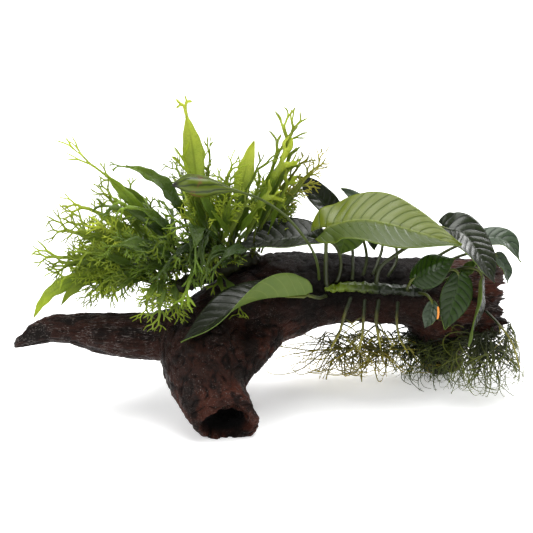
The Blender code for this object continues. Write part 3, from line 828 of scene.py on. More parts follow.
@dataclass
class Midrib:
    """The line that a leaf or frond grows along, with the side that faces up at each place."""

    POINTS = 60  # points of a midrib that isn't taken from a solid
    EASE = 1.3  # how late a frond begins to droop
    TURN = 0.25  # share of the length in which it turns to face a direction

    centres: np.ndarray
    ups: np.ndarray
    knots: list[float] = field(default_factory=list)
    halves: list[float] = field(default_factory=list)
    rises: list[float] = field(default_factory=list)

    def __post_init__(self) -> None:
        """Works out the distances along the line and its directions."""
        lengths = np.linalg.norm(np.diff(self.centres, axis=0), axis=1)
        self.run = np.concatenate([[0.0], np.cumsum(lengths)])
        self.alongs = unit(np.gradient(self.centres, axis=0))
        square = self.ups - (self.ups * self.alongs).sum(1, keepdims=True) * self.alongs
        self.ups = unit(square)

    @property
    def length(self) -> float:
        """Its whole length."""
        return float(self.run[-1])

    def at(self, rows: np.ndarray, run: np.ndarray) -> np.ndarray:
        """Rows between the stored ones, at distances along the line."""
        return np.stack([np.interp(run, self.run, rows[:, i]) for i in range(3)], axis=1)

    def surface(self, run: np.ndarray, aside: np.ndarray, above: np.ndarray) -> np.ndarray:
        """Points beside the line.

        Args:
            run: distance along it.
            aside: distance to its side.
            above: distance over it.

        Returns:
            One point a row.
        """
        along, up = self.at(self.alongs, run), self.at(self.ups, run)
        across = np.cross(along, up)
        return self.at(self.centres, run) + across * aside[:, None] + up * above[:, None]

    def turned(self, turn: Matrix, scale: float) -> "Midrib":
        """A copy turned and scaled about the place where it starts.

        Args:
            turn: the turn.
            scale: the scale.

        Returns:
            The new midrib.
        """
        matrix = np.array(turn)
        centres = (self.centres - self.centres[0]) @ matrix.T * scale + self.centres[0]
        knots = [scale * k for k in self.knots]
        halves = [scale * h for h in self.halves]
        return Midrib(centres, self.ups @ matrix.T, knots, halves, list(self.rises))

    def faced(self, direction: Vector, amount: float, start: float) -> "Midrib":
        """A copy whose upper side turns towards a direction along its length.

        Args:
            direction: where it should face.
            amount: how far it turns there, from 0 to 1.
            start: share of its length at which the turn begins.

        Returns:
            The turned midrib.
        """
        wanted = np.array(direction) - (self.alongs @ np.array(direction))[:, None] * self.alongs
        share = np.clip((self.run / self.length - start) / self.TURN, 0, 1)[:, None] * amount
        ups = self.ups * (1 - share) + unit(wanted) * share
        return Midrib(self.centres, unit(ups), list(self.knots), list(self.halves), list(self.rises))

    @classmethod
    def arched(
        cls, start: Vector, azimuth: float, rise: float, droop: float, length: float, roll: float
    ) -> "Midrib":
        """A midrib whose pitch eases from a rise to a droop.

        Args:
            start: where it leaves the rhizome.
            azimuth: its heading, with 0 along +X.
            rise: pitch at its start.
            droop: pitch at its tip.
            length: its length.
            roll: how far it turns about itself by its tip.

        Returns:
            The midrib.
        """
        shares = np.linspace(0, 1, cls.POINTS)
        pitch = np.radians(rise + (droop - rise) * shares**cls.EASE)
        heading = math.radians(azimuth)
        flat = np.array([math.cos(heading), math.sin(heading), 0.0])
        along = np.cos(pitch)[:, None] * flat + np.sin(pitch)[:, None] * np.array([0, 0, 1.0])
        up = -np.sin(pitch)[:, None] * flat + np.cos(pitch)[:, None] * np.array([0, 0, 1.0])
        side = np.cross(along, up)
        angle = np.radians(roll) * shares
        steps = along[:-1] * length / (cls.POINTS - 1)
        centres = np.vstack([[0, 0, 0], np.cumsum(steps, axis=0)]) + np.array(start)
        return cls(centres, up * np.cos(angle)[:, None] + side * np.sin(angle)[:, None])


class Solids:
    """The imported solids, read as shapes to grow the finished pieces on."""

    LEAF_SIDES = 4  # corners round a leaf's or frond's solid
    KEEL = 0.35  # height of a midrib between the top and the bottom of its solid, from the top
    POINTS = 240  # points of a midrib

    def __init__(self, nodes: dict[str, bpy.types.Object]) -> None:
        """Keeps the nodes by name."""
        self.nodes = nodes

    def merged(self, name: str) -> bmesh.types.BMesh:
        """A node's mesh with its loose triangles joined.

        Args:
            name: the node.

        Returns:
            The mesh, which the caller frees.
        """
        bm = bmesh.new()
        bm.from_mesh(self.nodes[name].data)
        bmesh.ops.remove_doubles(bm, verts=bm.verts, dist=1e-6)
        bm.verts.ensure_lookup_table()
        return bm

    def copy(self, name: str, new_name: str) -> bpy.types.Object:
        """A separate piece with a node's joined mesh.

        Args:
            name: the node.
            new_name: the piece's name.

        Returns:
            The piece.
        """
        bm = self.merged(name)
        mesh = bpy.data.meshes.new(new_name)
        bm.to_mesh(mesh)
        bm.free()
        made = bpy.data.objects.new(new_name, mesh)
        bpy.context.scene.collection.objects.link(made)
        return made

    def tree(self, names: list[str]) -> BVHTree:
        """A search tree over some nodes.

        Args:
            names: the nodes.

        Returns:
            The tree, in millimetres.
        """
        points, faces = [], []
        for name in names:
            mesh = self.nodes[name].data
            faces += [tuple(len(points) + i for i in polygon.vertices) for polygon in mesh.polygons]
            points += [vertex.co / MM for vertex in mesh.vertices]
        return BVHTree.FromPolygons(points, faces)

    def named(self, *starts: str) -> list[str]:
        """The names that begin in a given way, in order."""
        return sorted(name for name in self.nodes if name.startswith(starts))

    def midrib(self, name: str, rhizome: BVHTree) -> Midrib:
        """The midrib of a leaf's or frond's solid.

        Args:
            name: the solid's node.
            rhizome: search tree of the rhizome that it grows from.

        Returns:
            The midrib, with the half width and the rise of the margins at each ring of the solid.
        """
        bm = self.merged(name)
        rings = self.rings(bm, self.LEAF_SIDES)
        ends = [Vector(ring[0].co) / MM for ring in (rings[0], rings[-1])]
        if rhizome.find_nearest(ends[0])[3] > rhizome.find_nearest(ends[1])[3]:
            rings.reverse()
        centres, ups, halves, rises = [rings[0][0].co / MM], [], [0.0], [0.0]
        for ring in rings[1:-1]:
            near = ring[0]
            linked = [edge.other_vert(near) for edge in near.link_edges]
            far = next(v for v in ring[1:] if v not in linked)
            pairs = [(near, far), tuple(v for v in ring if v not in (near, far))]
            pairs.sort(key=lambda pair: (pair[0].co - pair[1].co).length)
            (top, bottom), (left, right) = pairs
            middle = (left.co + right.co) / 2
            if not ups and (top.co - middle).length > (bottom.co - middle).length:
                top, bottom = bottom, top
            up = (top.co - bottom.co).normalized()
            if ups and up.dot(ups[-1]) < 0:
                top, bottom, up = bottom, top, -up
            centre = top.co.lerp(bottom.co, self.KEEL)
            centres.append(centre / MM)
            ups.append(up)
            halves.append((left.co - right.co).length / 2 / MM)
            rises.append((middle - centre).dot(up) / MM)
        centres.append(rings[-1][0].co / MM)
        bm.free()
        ups = [ups[0], *ups, ups[-1]]
        places = np.array(centres)
        knots = np.concatenate([[0.0], np.cumsum(np.linalg.norm(np.diff(places, axis=0), axis=1))])
        fine = np.linspace(0, knots[-1], self.POINTS)
        found = Midrib(eased(knots, places, fine), unit(eased(knots, np.array(ups), fine)))
        found.knots = list(knots * found.length / knots[-1])
        found.halves, found.rises = [*halves, 0.0], [*rises, 0.0]
        return found

    @staticmethod
    def rings(bm: bmesh.types.BMesh, sides: int) -> list[list[bmesh.types.BMVert]]:
        """A lofted solid's vertices, ring by ring from one pole to the other.

        Args:
            bm: the solid's joined mesh.
            sides: corners of each ring.

        Returns:
            The rings, of which the first and last are one vertex each.
        """
        for pole in bm.verts:
            if len(pole.link_faces) != sides:
                continue
            seen, layers = {pole}, [[pole]]
            while layers[-1]:
                reached = []
                for vertex in layers[-1]:
                    for edge in vertex.link_edges:
                        other = edge.other_vert(vertex)
                        if other not in seen:
                            seen.add(other)
                            reached.append(other)
                layers.append(reached)
            layers.pop()
            if len(layers[-1]) == 1 and all(len(layer) == sides for layer in layers[1:-1]):
                return layers
        raise ValueError("the solid isn't a loft of even rings")


# ---------------------------------------------------------------- fern


class Crest(Enum):
    """How a frond's tip is divided."""

    LACE = "lace"
    ANTLER = "antler"
    FORKED = "forked"
    TUFT = "tuft"
    PLAIN = "plain"


@dataclass(frozen=True)
class CrestShape:
    """Driving sizes of a divided tip."""

    forks: int
    spread: float  # angle between the two lobes of a fork
    lobe: float  # length of the first lobe
    neck: float  # width where it leaves the blade
    shrink: float = 0.8  # length of each lobe over the one before it


CREST_SHAPES = {
    Crest.LACE: CrestShape(forks=3, spread=46, lobe=8.6, neck=4.0, shrink=0.94),
    Crest.ANTLER: CrestShape(forks=3, spread=44, lobe=11.0, neck=4.2, shrink=0.84),
    Crest.FORKED: CrestShape(forks=2, spread=48, lobe=5.0, neck=3.2, shrink=0.85),
    Crest.TUFT: CrestShape(forks=2, spread=84, lobe=2.2, neck=3.4, shrink=1.0),
}
CREST_MODELS = 5  # different models of each divided tip


@dataclass(frozen=True)
class FlatModel:
    """A flat shape that fronds share: its points, with x along it from 0 and y across it, and its faces."""

    points: np.ndarray
    faces: list


class CrestModeller:
    """Models one divided tip by extruding edges, as flat lobes that fork and taper to points."""

    TIP = 0.22  # width of a lobe's point
    LEAST = 1.05  # width below which a lobe narrows no more
    WIDEN = 1.35  # width before a fork over the lobe's own
    BEND = 9  # the most that a lobe bends at a step
    STUNTED = 0.12  # share of the lobes that fork no more

    def __init__(self, shape: CrestShape, seed: int) -> None:
        """Keeps the sizes.

        Args:
            shape: the driving sizes.
            seed: picks one of the possible tips.
        """
        self.shape = shape
        self.chance = random.Random(seed)
        self.mesh: bpy.types.Mesh | None = None

    def model(self) -> FlatModel:
        """Models the tip.

        Returns:
            Its flat shape.
        """
        neck = self.shape.neck
        deselect()
        bpy.ops.mesh.primitive_plane_add(size=neck, location=(neck / 2, 0, 0))
        made = bpy.context.object
        bpy.ops.object.transform_apply(location=True)
        self.mesh = made.data
        bpy.ops.object.mode_set(mode="EDIT")
        bpy.context.tool_settings.mesh_select_mode = (False, True, False)
        edge = tuple(vertex.index for vertex in self._bm().verts if vertex.co.x > neck / 2)
        self._grow(edge, 0.0, self.shape.lobe, neck, self.shape.forks)
        bpy.ops.object.mode_set(mode="OBJECT")
        apply_modifier(made, "SUBSURF", levels=1, render_levels=1)
        points = coordinates(made) * MM
        faces = [tuple(polygon.vertices) for polygon in made.data.polygons]
        bpy.data.objects.remove(made)
        return FlatModel(points[:, :2], faces)

    def _bm(self) -> bmesh.types.BMesh:
        """The mesh being edited."""
        bm = bmesh.from_edit_mesh(self.mesh)
        bm.verts.ensure_lookup_table()
        return bm

    def _choose(self, edge: tuple[int, int]) -> None:
        """Selects one edge alone.

        Args:
            edge: its two vertices.
        """
        bpy.ops.mesh.select_all(action="DESELECT")
        bm = self._bm()
        bm.edges.get((bm.verts[edge[0]], bm.verts[edge[1]])).select_set(True)
        bmesh.update_edit_mesh(self.mesh)

    def _extend(
        self, edge: tuple[int, int], heading: float, turn: float, step: float, width: float
    ) -> tuple[int, int]:
        """Extrudes an edge.

        Args:
            edge: the vertices of the edge.
            heading: direction in which it is drawn out.
            turn: how far the new edge is turned.
            step: how far it is drawn out.
            width: the new edge's length.

        Returns:
            The new edge, with the vertex on its left first.
        """
        self._choose(edge)
        angle = math.radians(heading)
        shift = (step * math.cos(angle), step * math.sin(angle), 0)
        bpy.ops.mesh.extrude_region_move(TRANSFORM_OT_translate={"value": shift})
        chosen = [vertex for vertex in self._bm().verts if vertex.select]
        middle = (chosen[0].co + chosen[1].co) / 2
        now = (chosen[0].co - chosen[1].co).length
        bpy.ops.transform.rotate(value=-math.radians(turn), orient_axis="Z", center_override=middle)
        ratio = width / max(now, 0.01)
        bpy.ops.transform.resize(value=(ratio, ratio, 1), center_override=middle)
        left = Vector((-math.sin(angle), math.cos(angle), 0))
        chosen = [vertex for vertex in self._bm().verts if vertex.select]
        chosen.sort(key=lambda vertex: -vertex.co.dot(left))
        return chosen[0].index, chosen[1].index

    def _grow(self, edge: tuple[int, int], heading: float, length: float, width: float, forks: int) -> None:
        """Draws out a lobe from an edge, then forks it or brings it to a point.

        Args:
            edge: where the lobe starts.
            heading: its direction.
            length: its length.
            width: its width.
            forks: how often it still forks.
        """
        bend = self.chance.uniform(-self.BEND, self.BEND)
        facing = self._facing(edge)
        for share in (0.4, 0.6):
            heading += bend
            edge = self._extend(edge, heading, heading - facing, length * share, width)
            facing = heading
        if forks == 0:
            edge = self._extend(edge, heading + bend, bend, length * 0.45, width * 0.62)
            self._extend(edge, heading + bend, 0, length * 0.35, self.TIP)
            return
        edge = self._extend(edge, heading, 0, width * 0.55, width * self.WIDEN)
        self._choose(edge)
        bpy.ops.mesh.subdivide(number_cuts=1)
        middle = len(self._bm().verts) - 1
        left, right = self.chance.uniform(0.35, 0.65), self.chance.uniform(0.75, 1.2)
        spread = self.shape.spread
        for half, side in (((edge[0], middle), left), ((middle, edge[1]), left - 1)):
            drawn = length * self.shape.shrink * (right if side > 0 else 1.95 - right)
            stop = forks - 1 if self.chance.random() > self.STUNTED else 0
            self._grow(half, heading + spread * side, drawn, max(self.LEAST, width * 0.72), stop)

    def _facing(self, edge: tuple[int, int]) -> float:
        """The direction that an edge's outer side faces.

        Args:
            edge: its two vertices, with the one on its left first.

        Returns:
            The angle from the tip's own direction.
        """
        verts = self._bm().verts
        across = verts[edge[0]].co - verts[edge[1]].co
        angle = math.degrees(math.atan2(-across.x, across.y))
        return angle if abs(angle) <= 90 else angle - math.copysign(180, angle)


@dataclass(frozen=True)
class FrondLook:
    """How one of the fern's fronds is finished."""

    tone: FrondTone
    crest: Crest
    lobes: int = 0  # side lobes on each margin
    company: int = 1  # younger fronds beside it
    spread: float = 14.0  # how far they turn away from it
    facing: float = 0.5  # how far its upper side turns to the front
    slim: float = 1.0  # its blade's width over that of its solid
    wavy: float = 1.0  # how uneven its margins are


FROND_LOOKS = {
    "upright_broad": FrondLook(FrondTone.PALE, Crest.TUFT, company=0, facing=0.9, slim=0.75, wavy=0.35),
    "upright_narrow": FrondLook(FrondTone.FRESH, Crest.FORKED, company=2),
    "upright_forked": FrondLook(FrondTone.FRESH, Crest.ANTLER, 2, company=2, facing=0.7),
    "dark_lace": FrondLook(FrondTone.FRESH, Crest.LACE, 5, company=3, facing=0.7),
    "pale_spear": FrondLook(FrondTone.PALE, Crest.PLAIN, company=0, facing=0.9, slim=0.8, wavy=0.5),
    "antler": FrondLook(FrondTone.LIME, Crest.ANTLER, company=1, facing=0.95, slim=0.55),
    "right_arching": FrondLook(FrondTone.AGED, Crest.LACE, 3, company=3, facing=0.7, spread=18, slim=0.7),
    "right_middle": FrondLook(FrondTone.FRESH, Crest.LACE, 5, company=4, spread=18, slim=0.8),
    "right_low": FrondLook(FrondTone.FRESH, Crest.LACE, 4, company=4, spread=20),
    "arching_strap": FrondLook(FrondTone.MIDDLE, Crest.FORKED, company=0, facing=0.6),
    "high_left": FrondLook(FrondTone.LIME, Crest.ANTLER, company=0, facing=0.8, slim=0.75),
    "high_left_inner": FrondLook(FrondTone.FRESH, Crest.ANTLER, 2, company=1, facing=0.6, slim=0.7),
    "left_upper": FrondLook(FrondTone.LIME, Crest.LACE, 5, company=4, facing=0.6, slim=0.6, spread=16),
    "left_middle": FrondLook(FrondTone.LIME, Crest.LACE, 6, company=5, facing=0.6, slim=0.6, spread=16),
    "left_lower": FrondLook(FrondTone.FRESH, Crest.LACE, 6, company=5, facing=0.6, slim=0.6, spread=18),
    "long_drooping": FrondLook(FrondTone.FRESH, Crest.PLAIN, company=1, facing=0.4),
    "left_hanging": FrondLook(FrondTone.FRESH, Crest.LACE, 5, company=5, slim=0.7, spread=20),
    "front_left": FrondLook(FrondTone.MIDDLE, Crest.FORKED, 2, company=2, facing=0.6, slim=0.8),
    "front_strap": FrondLook(FrondTone.MIDDLE, Crest.LACE, 4, company=3, spread=20),
    "front_hanging": FrondLook(FrondTone.DARK, Crest.FORKED, company=3, spread=9, facing=0.3),
    "front_lace": FrondLook(FrondTone.FRESH, Crest.LACE, 5, company=4, slim=0.8, spread=18),
    "front_right_lace": FrondLook(FrondTone.FRESH, Crest.ANTLER, 1, company=1, spread=24),
    "back_left": FrondLook(FrondTone.FRESH, Crest.LACE, 5, company=3, slim=0.8),
    "back_low": FrondLook(FrondTone.MIDDLE, Crest.LACE, 5, company=3, slim=0.8),
    "back_middle": FrondLook(FrondTone.FRESH, Crest.LACE, 5, company=3, slim=0.8),
    "back_right": FrondLook(FrondTone.FRESH, Crest.LACE, 5, company=3, slim=0.8),
    "back_tall": FrondLook(FrondTone.FRESH, Crest.LACE, 5, company=3, slim=0.8),
}
FRONT = Vector((0.0, -0.9, 0.45))
Span = tuple[float, float]


@dataclass(frozen=True)
class Sprouting:
    """A scatter of small fronds from the fern's rhizome. Each span holds the least and the most."""

    label: str
    count: int
    share: Span  # where they start along the rhizome
    forward: Span  # how far in front of its middle they start
    azimuth: Span
    rise: Span
    droop: Span
    length: Span
    half: Span  # the blade's half width
    tip: float  # the divided tip's half width over the frond's length
    tones: tuple[FrondTone, ...]
    crests: tuple[Crest, ...]
    lobes: int = 1
    wavy: float = 1.0


LACED, NARROW = (Crest.LACE, Crest.ANTLER), (Crest.FORKED, Crest.PLAIN, Crest.ANTLER)
LIGHT = (FrondTone.LIME, FrondTone.FRESH, FrondTone.PALE, FrondTone.LIME)
SPROUTINGS = (
    Sprouting(
        "young", 30, (0.0, 0.8), (-5, 7), (165, 275), (15, 70), (-95, 15), (26, 70), (2.0, 2.8), 0.26,
        (FrondTone.FRESH, FrondTone.MIDDLE, FrondTone.MIDDLE, FrondTone.DARK), LACED,
    ),
    Sprouting(
        "back_young", 18, (0.0, 1.0), (-8, 2), (20, 160), (15, 75), (-60, 40), (40, 80), (2.0, 3.0), 0.28,
        (FrondTone.FRESH, FrondTone.MIDDLE), LACED,
    ),
    Sprouting(
        "crown_left", 11, (0.45, 0.85), (-6, 5), (150, 225), (68, 86), (-10, 62), (60, 108), (2.6, 4.4), 0.12,
        LIGHT, NARROW, 1,
    ),
    Sprouting(
        "crown_right", 10, (0.5, 1.0), (-6, 5), (-40, 30), (66, 86), (25, 70), (60, 104), (2.4, 4.2), 0.13,
        LIGHT, NARROW, 1,
    ),
    Sprouting(
        "front_strap", 8, (0.35, 1.0), (2, 8), (215, 285), (35, 62), (-100, -75), (58, 84), (3.4, 4.8), 0.10,
        (FrondTone.DARK, FrondTone.MIDDLE), (Crest.PLAIN, Crest.FORKED), 0,
    ),
    Sprouting(
        "left_low", 8, (0.0, 0.3), (-6, 6), (160, 225), (10, 40), (-85, -40), (56, 88), (2.4, 3.6), 0.20,
        (FrondTone.FRESH, FrondTone.LIME), NARROW, 2,
    ),
)


@dataclass
class Fern:
    """The java fern: fronds on a creeping rhizome, with young fronds at its foot."""

    solids: Solids
    obstacles: BVHTree
    low: Vector
    high: Vector
    stalk_half: float = 0.75
    blade_thickness: float = 0.45
    stalk_thickness: float = 1.3
    clearance: float = 1.4
    tries: int = 12  # places tried for each small frond
    close_tries: int = 16  # places tried for a frond beside another
    broad: float = 4.5  # half width from which a blade has six faces across
    pitch: float = 2.2  # length of a blade's faces
    least_half: float = 2.0
    curl: float = 0.2  # height of a margin's waves, as a share of the half width
    keel: float = 0.22  # how deep the midrib lies
    roll: float = 40  # the most that a small frond turns about itself
    lobe_sizes: tuple[float, float] = (7, 13)
    lobe_angles: tuple[float, float] = (28, 58)
    sprout_knots: tuple[float, ...] = (0, 0.02, 0.12, 0.25, 0.34, 0.44, 0.54, 0.62, 0.66, 0.8, 0.95, 1)
    chance: random.Random = field(default_factory=lambda: random.Random(SEED))

    def build(self) -> None:
        """Models and dresses the whole fern."""
        self.greens = {tone: finish.material() for tone, finish in FROND_GREENS.items()}
        self.crests = {
            crest: [CrestModeller(shape, SEED + 31 * i).model() for i in range(CREST_MODELS)]
            for crest, shape in CREST_SHAPES.items()
        }
        LOG.info("modelled %d divided tips", CREST_MODELS * len(CREST_SHAPES))
        rhizome = self.solids.tree(["fern_rhizome"])
        for node in self.solids.named("fern_frond_"):
            look = FROND_LOOKS[node.removeprefix("fern_frond_")]
            self.frond_group(node, self.solids.midrib(node, rhizome), look)
        for kind in SPROUTINGS:
            self.sprout(kind)
        self.rhizome()

    def frond_group(self, node: str, midrib: Midrib, look: FrondLook) -> None:
        """A frond on its solid's midrib, with younger ones beside it, as one piece.

        Args:
            node: the solid that it stands for.
            midrib: where it grows.
            look: how it is finished.
        """
        name = node.replace("fern_frond_", "lace_frond_")
        midrib = midrib.faced(FRONT, look.facing, 0.2)
        parts = self.frond(name, midrib, look)
        for _ in range(look.company):
            beside = self._beside(midrib, look.spread)
            if beside:
                parts += self.frond(name, beside, look)
        self._thicken(join(parts, name), look.tone, [node])

    def _beside(self, midrib: Midrib, spread: float) -> Midrib | None:
        """A smaller midrib turned away from a frond's own.

        Args:
            midrib: the frond's own.
            spread: how far it may turn away.

        Returns:
            The new midrib, or None where there is no room for one.
        """
        for _ in range(self.close_tries):
            lean = self.chance.uniform(0.4, 1.0) * math.radians(spread) * self.chance.choice((-1, 1))
            nod = math.radians(self.chance.uniform(-0.8, 0.8) * spread)
            level = Vector(midrib.alongs[len(midrib.alongs) // 4]).cross((0, 0, 1))
            turn = Matrix.Rotation(lean, 3, "Z") @ Matrix.Rotation(nod, 3, level)
            found = midrib.turned(turn, self.chance.uniform(0.6, 0.95))
            if self._fits(found):
                return found
        return None

    def _fits(self, midrib: Midrib) -> bool:
        """Whether there is room for a frond.

        Args:
            midrib: where it would grow.

        Returns:
            True where it is clear of the wood and leaves and inside the plant's own box.
        """
        checked = midrib.centres[len(midrib.centres) // 6::6]
        if any((checked.min(0) < np.array(self.low) + 1) | (checked.max(0) > np.array(self.high) - 1)):
            return False
        return all(self.obstacles.find_nearest(Vector(place))[3] > self.clearance for place in checked)

    def frond(self, name: str, midrib: Midrib, look: FrondLook) -> list[bpy.types.Object]:
        """The flat parts of one frond.

        Args:
            name: the piece's name.
            midrib: where it grows.
            look: how it is finished.

        Returns:
            Its ribbon, its divided tip and its side lobes.
        """
        shade = self.chance.random()
        stalk_end, blade_end = midrib.knots[3], midrib.knots[8]
        half = max(max(midrib.halves[4:8]) * look.slim, self.least_half)
        parts = [self._ribbon(name, midrib, look, half, shade)]
        if look.crest is not Crest.PLAIN:
            reach = midrib.length - blade_end
            side = max(midrib.halves[8:]) + 0.5
            parts.append(self._crest(name, midrib, look.crest, blade_end - 1.0, reach, side, shade))
        for i in range(look.lobes):
            for side in (-1, 1):
                share = 0.35 + 0.6 * (i + self.chance.uniform(0.1, 0.9)) / look.lobes
                place = stalk_end + (blade_end - stalk_end) * share
                parts.append(self._side_lobe(name, midrib, place, side, half, shade))
        return parts

    def _blade_half(
        self, run: np.ndarray, stalk_end: float, blade_end: float, half: float, neck: float
    ) -> np.ndarray:
        """Half width along a frond: stalk, lance-shaped blade and the neck of its tip.

        Args:
            run: distances along it.
            stalk_end: where its blade begins.
            blade_end: where its blade ends.
            half: the blade's greatest half width.
            neck: half width where the divided tip begins.

        Returns:
            The half width at each distance.
        """
        x = np.clip((run - stalk_end) / (blade_end - stalk_end), 0, 1)
        lance = half * np.sin(math.pi * x**0.85) ** 0.8
        floor = self.stalk_half + (neck - self.stalk_half) * x**2
        return np.maximum(lance, floor)

    def _ribbon(
        self, name: str, midrib: Midrib, look: FrondLook, half: float, shade: float
    ) -> bpy.types.Object:
        """The stalk and the wavy blade of a frond, as one flat grid.

        Args:
            name: the piece's name.
            midrib: where it grows.
            look: how it is finished.
            half: the blade's greatest half width.
            shade: how light it is, from 0 to 1.

        Returns:
            The grid, with its stalk in the group "thick".
        """
        stalk_end, blade_end = midrib.knots[3], midrib.knots[8]
        columns = max(20, round(midrib.length / self.pitch))
        made, share, v = sheet_grid(name, columns, 6 if half > self.broad else 4)
        run = share * blade_end
        neck = 0.15 if look.crest is Crest.PLAIN else 1.3
        widths = self._blade_half(run, stalk_end, blade_end, half, neck)
        in_blade = np.clip((run - stalk_end) / (0.2 * (blade_end - stalk_end)), 0, 1)
        start = self.chance.uniform(0, 6)
        edge = np.sin(run / 1.9 + start + v) * 0.09 + np.sin(run / 4.7 + 2 * start + 2 * v) * 0.11
        widths = widths * (1 + look.wavy * edge * in_blade)
        wave = np.sin(run / 3.4 + start + 1.2 * np.sign(v))
        wave = wave + 0.6 * np.sin(run / 7.7 + start * 3 + 2.5 * np.sign(v))
        above = np.abs(v) ** 1.6 * in_blade * (self.curl * look.wavy * widths * wave + 0.14 * half)
        above -= self.keel * np.exp(-((v * 3) ** 2)) * in_blade
        move_to(made, midrib.surface(run, v * widths, above))
        write(made, age=run / midrib.length, aside=v, shade=shade, run=run)
        group = made.vertex_groups.new(name="thick")
        stalk = np.flatnonzero(in_blade < 0.05)
        group.add([int(i) for i in stalk], 1.0, "REPLACE")
        return made

    def _flat_piece(self, name: str, model: FlatModel) -> bpy.types.Object:
        """A new piece with a shared flat shape and a mesh of its own.

        Args:
            name: its name.
            model: the shape.

        Returns:
            The piece.
        """
        mesh = bpy.data.meshes.new(name)
        mesh.from_pydata([(x, y, 0) for x, y in model.points], [], model.faces)
        made = bpy.data.objects.new(name, mesh)
        bpy.context.scene.collection.objects.link(made)
        made.vertex_groups.new(name="thick")
        return made

    def _crest(
        self, name: str, midrib: Midrib, crest: Crest, start: float, reach: float, half: float, shade: float
    ) -> bpy.types.Object:
        """The divided tip of a frond, curled out of its plane.

        Args:
            name: the piece's name.
            midrib: the frond's midrib.
            crest: how the tip is divided.
            start: where it leaves the blade.
            reach: its length.
            half: its half width.
            shade: how light the frond is, from 0 to 1.

        Returns:
            The tip.
        """
        model = self.chance.choice(self.crests[crest])
        made = self._flat_piece(name, model)
        x = model.points[:, 0] / model.points[:, 0].max()
        y = model.points[:, 1] / np.abs(model.points[:, 1]).max()
        mirror = self.chance.choice((-1, 1))
        drift = self.chance.uniform(0, 50)
        rough = wobble(np.c_[x, y, np.full(len(x), drift)], 0.42, 3.0)
        curl = self.chance.uniform(-0.25, 0.55)
        above = half * (curl * y**2 * x + 0.85 * rough * x)
        move_to(made, midrib.surface(start + x * (reach + 1.0), -mirror * y * half, above))
        if mirror < 0:
            made.data.flip_normals()
        start_age = start / midrib.length
        write(made, age=start_age + (1 - start_age) * x, aside=0.5, shade=shade, run=start + x * reach)
        return made

    def _side_lobe(
        self, name: str, midrib: Midrib, place: float, side: int, half: float, shade: float
    ) -> bpy.types.Object:
        """A small forked lobe on a blade's margin.

        Args:
            name: the piece's name.
            midrib: the frond's midrib.
            place: distance along it.
            side: 1 or -1, the margin.
            half: the blade's half width.
            shade: how light the frond is, from 0 to 1.

        Returns:
            The lobe.
        """
        model = self.chance.choice(self.crests[Crest.FORKED])
        made = self._flat_piece(name, model)
        size = self.chance.uniform(*self.lobe_sizes)
        points = model.points * size / model.points[:, 0].max()
        angle = math.radians(self.chance.uniform(*self.lobe_angles))
        along = points[:, 0] * math.cos(angle) - points[:, 1] * math.sin(angle)
        out = points[:, 0] * math.sin(angle) + points[:, 1] * math.cos(angle)
        aside = side * (half * 0.45 + out)
        above = self.chance.uniform(-0.35, 0.45) * out
        run = np.clip(place + along, 0, midrib.length)
        move_to(made, midrib.surface(run, -aside, above))
        if side < 0:
            made.data.flip_normals()
        tip = points[:, 0] / size
        write(made, age=0.6 + 0.4 * tip, aside=0.5, shade=shade, run=run)
        return made

    def _thicken(self, made: bpy.types.Object, tone: FrondTone, stands_for: list[str]) -> None:
        """Gives flat fronds their thickness and their finish.

        Args:
            made: the piece.
            tone: its green.
            stands_for: the solids that it replaces.
        """
        dress(made, self.greens[tone])
        thin = self.blade_thickness / self.stalk_thickness
        apply_modifier(
            made, "SOLIDIFY", thickness=self.stalk_thickness * MM, offset=0.0, vertex_group="thick",
            thickness_vertex_group=thin,
        )
        made.vertex_groups.clear()
        finish_piece(made, stands_for)

    def sprout(self, kind: Sprouting) -> None:
        """Small fronds that hide the rhizome, lie over the wood and fill the spaces between the large ones.

        Args:
            kind: where they grow and how they are finished.
        """
        low, high = (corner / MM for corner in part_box("fern_rhizome"))
        between = self.chance.uniform
        made = 0
        for _ in range(self.tries * kind.count):
            if made == kind.count:
                return
            share, length = between(*kind.share), between(*kind.length)
            start = Vector((
                low.x + (high.x - low.x) * share,
                (low.y + high.y) / 2 - between(*kind.forward),
                low.z + (high.z - low.z) * (0.55 + 0.4 * share),
            ))
            midrib = Midrib.arched(
                start, between(*kind.azimuth), between(*kind.rise), between(*kind.droop), length,
                between(-self.roll, self.roll),
            )
            half, tip = between(*kind.half), kind.tip * length
            midrib.knots = [share * length for share in self.sprout_knots]
            midrib.halves = [0, 0.8, 0.8, 1, half, half, half, half, 2, tip, 0.7 * tip, 0]
            tone, crest = self.chance.choice(kind.tones), self.chance.choice(kind.crests)
            if not self._fits(midrib):
                continue
            made += 1
            name = f"{kind.label}_frond_{made}"
            look = FrondLook(tone, crest, kind.lobes, facing=0.6, wavy=kind.wavy)
            self._thicken(join(self.frond(name, midrib.faced(FRONT, 0.6, 0.15), look), name), tone, [])

    def rhizome(self) -> None:
        """The creeping stem, rough with old leaf scales."""
        made = self.solids.copy("fern_rhizome", "creeping_stem")
        apply_modifier(made, "REMESH", mode="VOXEL", voxel_size=0.9 * MM)
        apply_modifier(made, "SMOOTH", iterations=4, factor=0.5)
        places = coordinates(made)
        move_to(made, places + normals(made) * (1.2 * wobble(places, 3.2, 1.0))[:, None])
        write(made, age=0.5 + 0.5 * wobble(places, 9.0, 2.0))
        dress(made, SCALY_STEM.material())
        finish_piece(made, ["fern_rhizome"])


# ---------------------------------------------------------------- anubias


@dataclass(frozen=True)
class LeafLook:
    """How one of the anubias's leaves is finished."""

    tone: BladeTone
    veins: int = 10
    lobe: float = 0.2  # how far the lobes at its base reach back, as a share of its half width
    ridge: float = 0.5  # height of the strips between its veins
    ruffle: float = 1.0
    stalk_half: float = 1.25


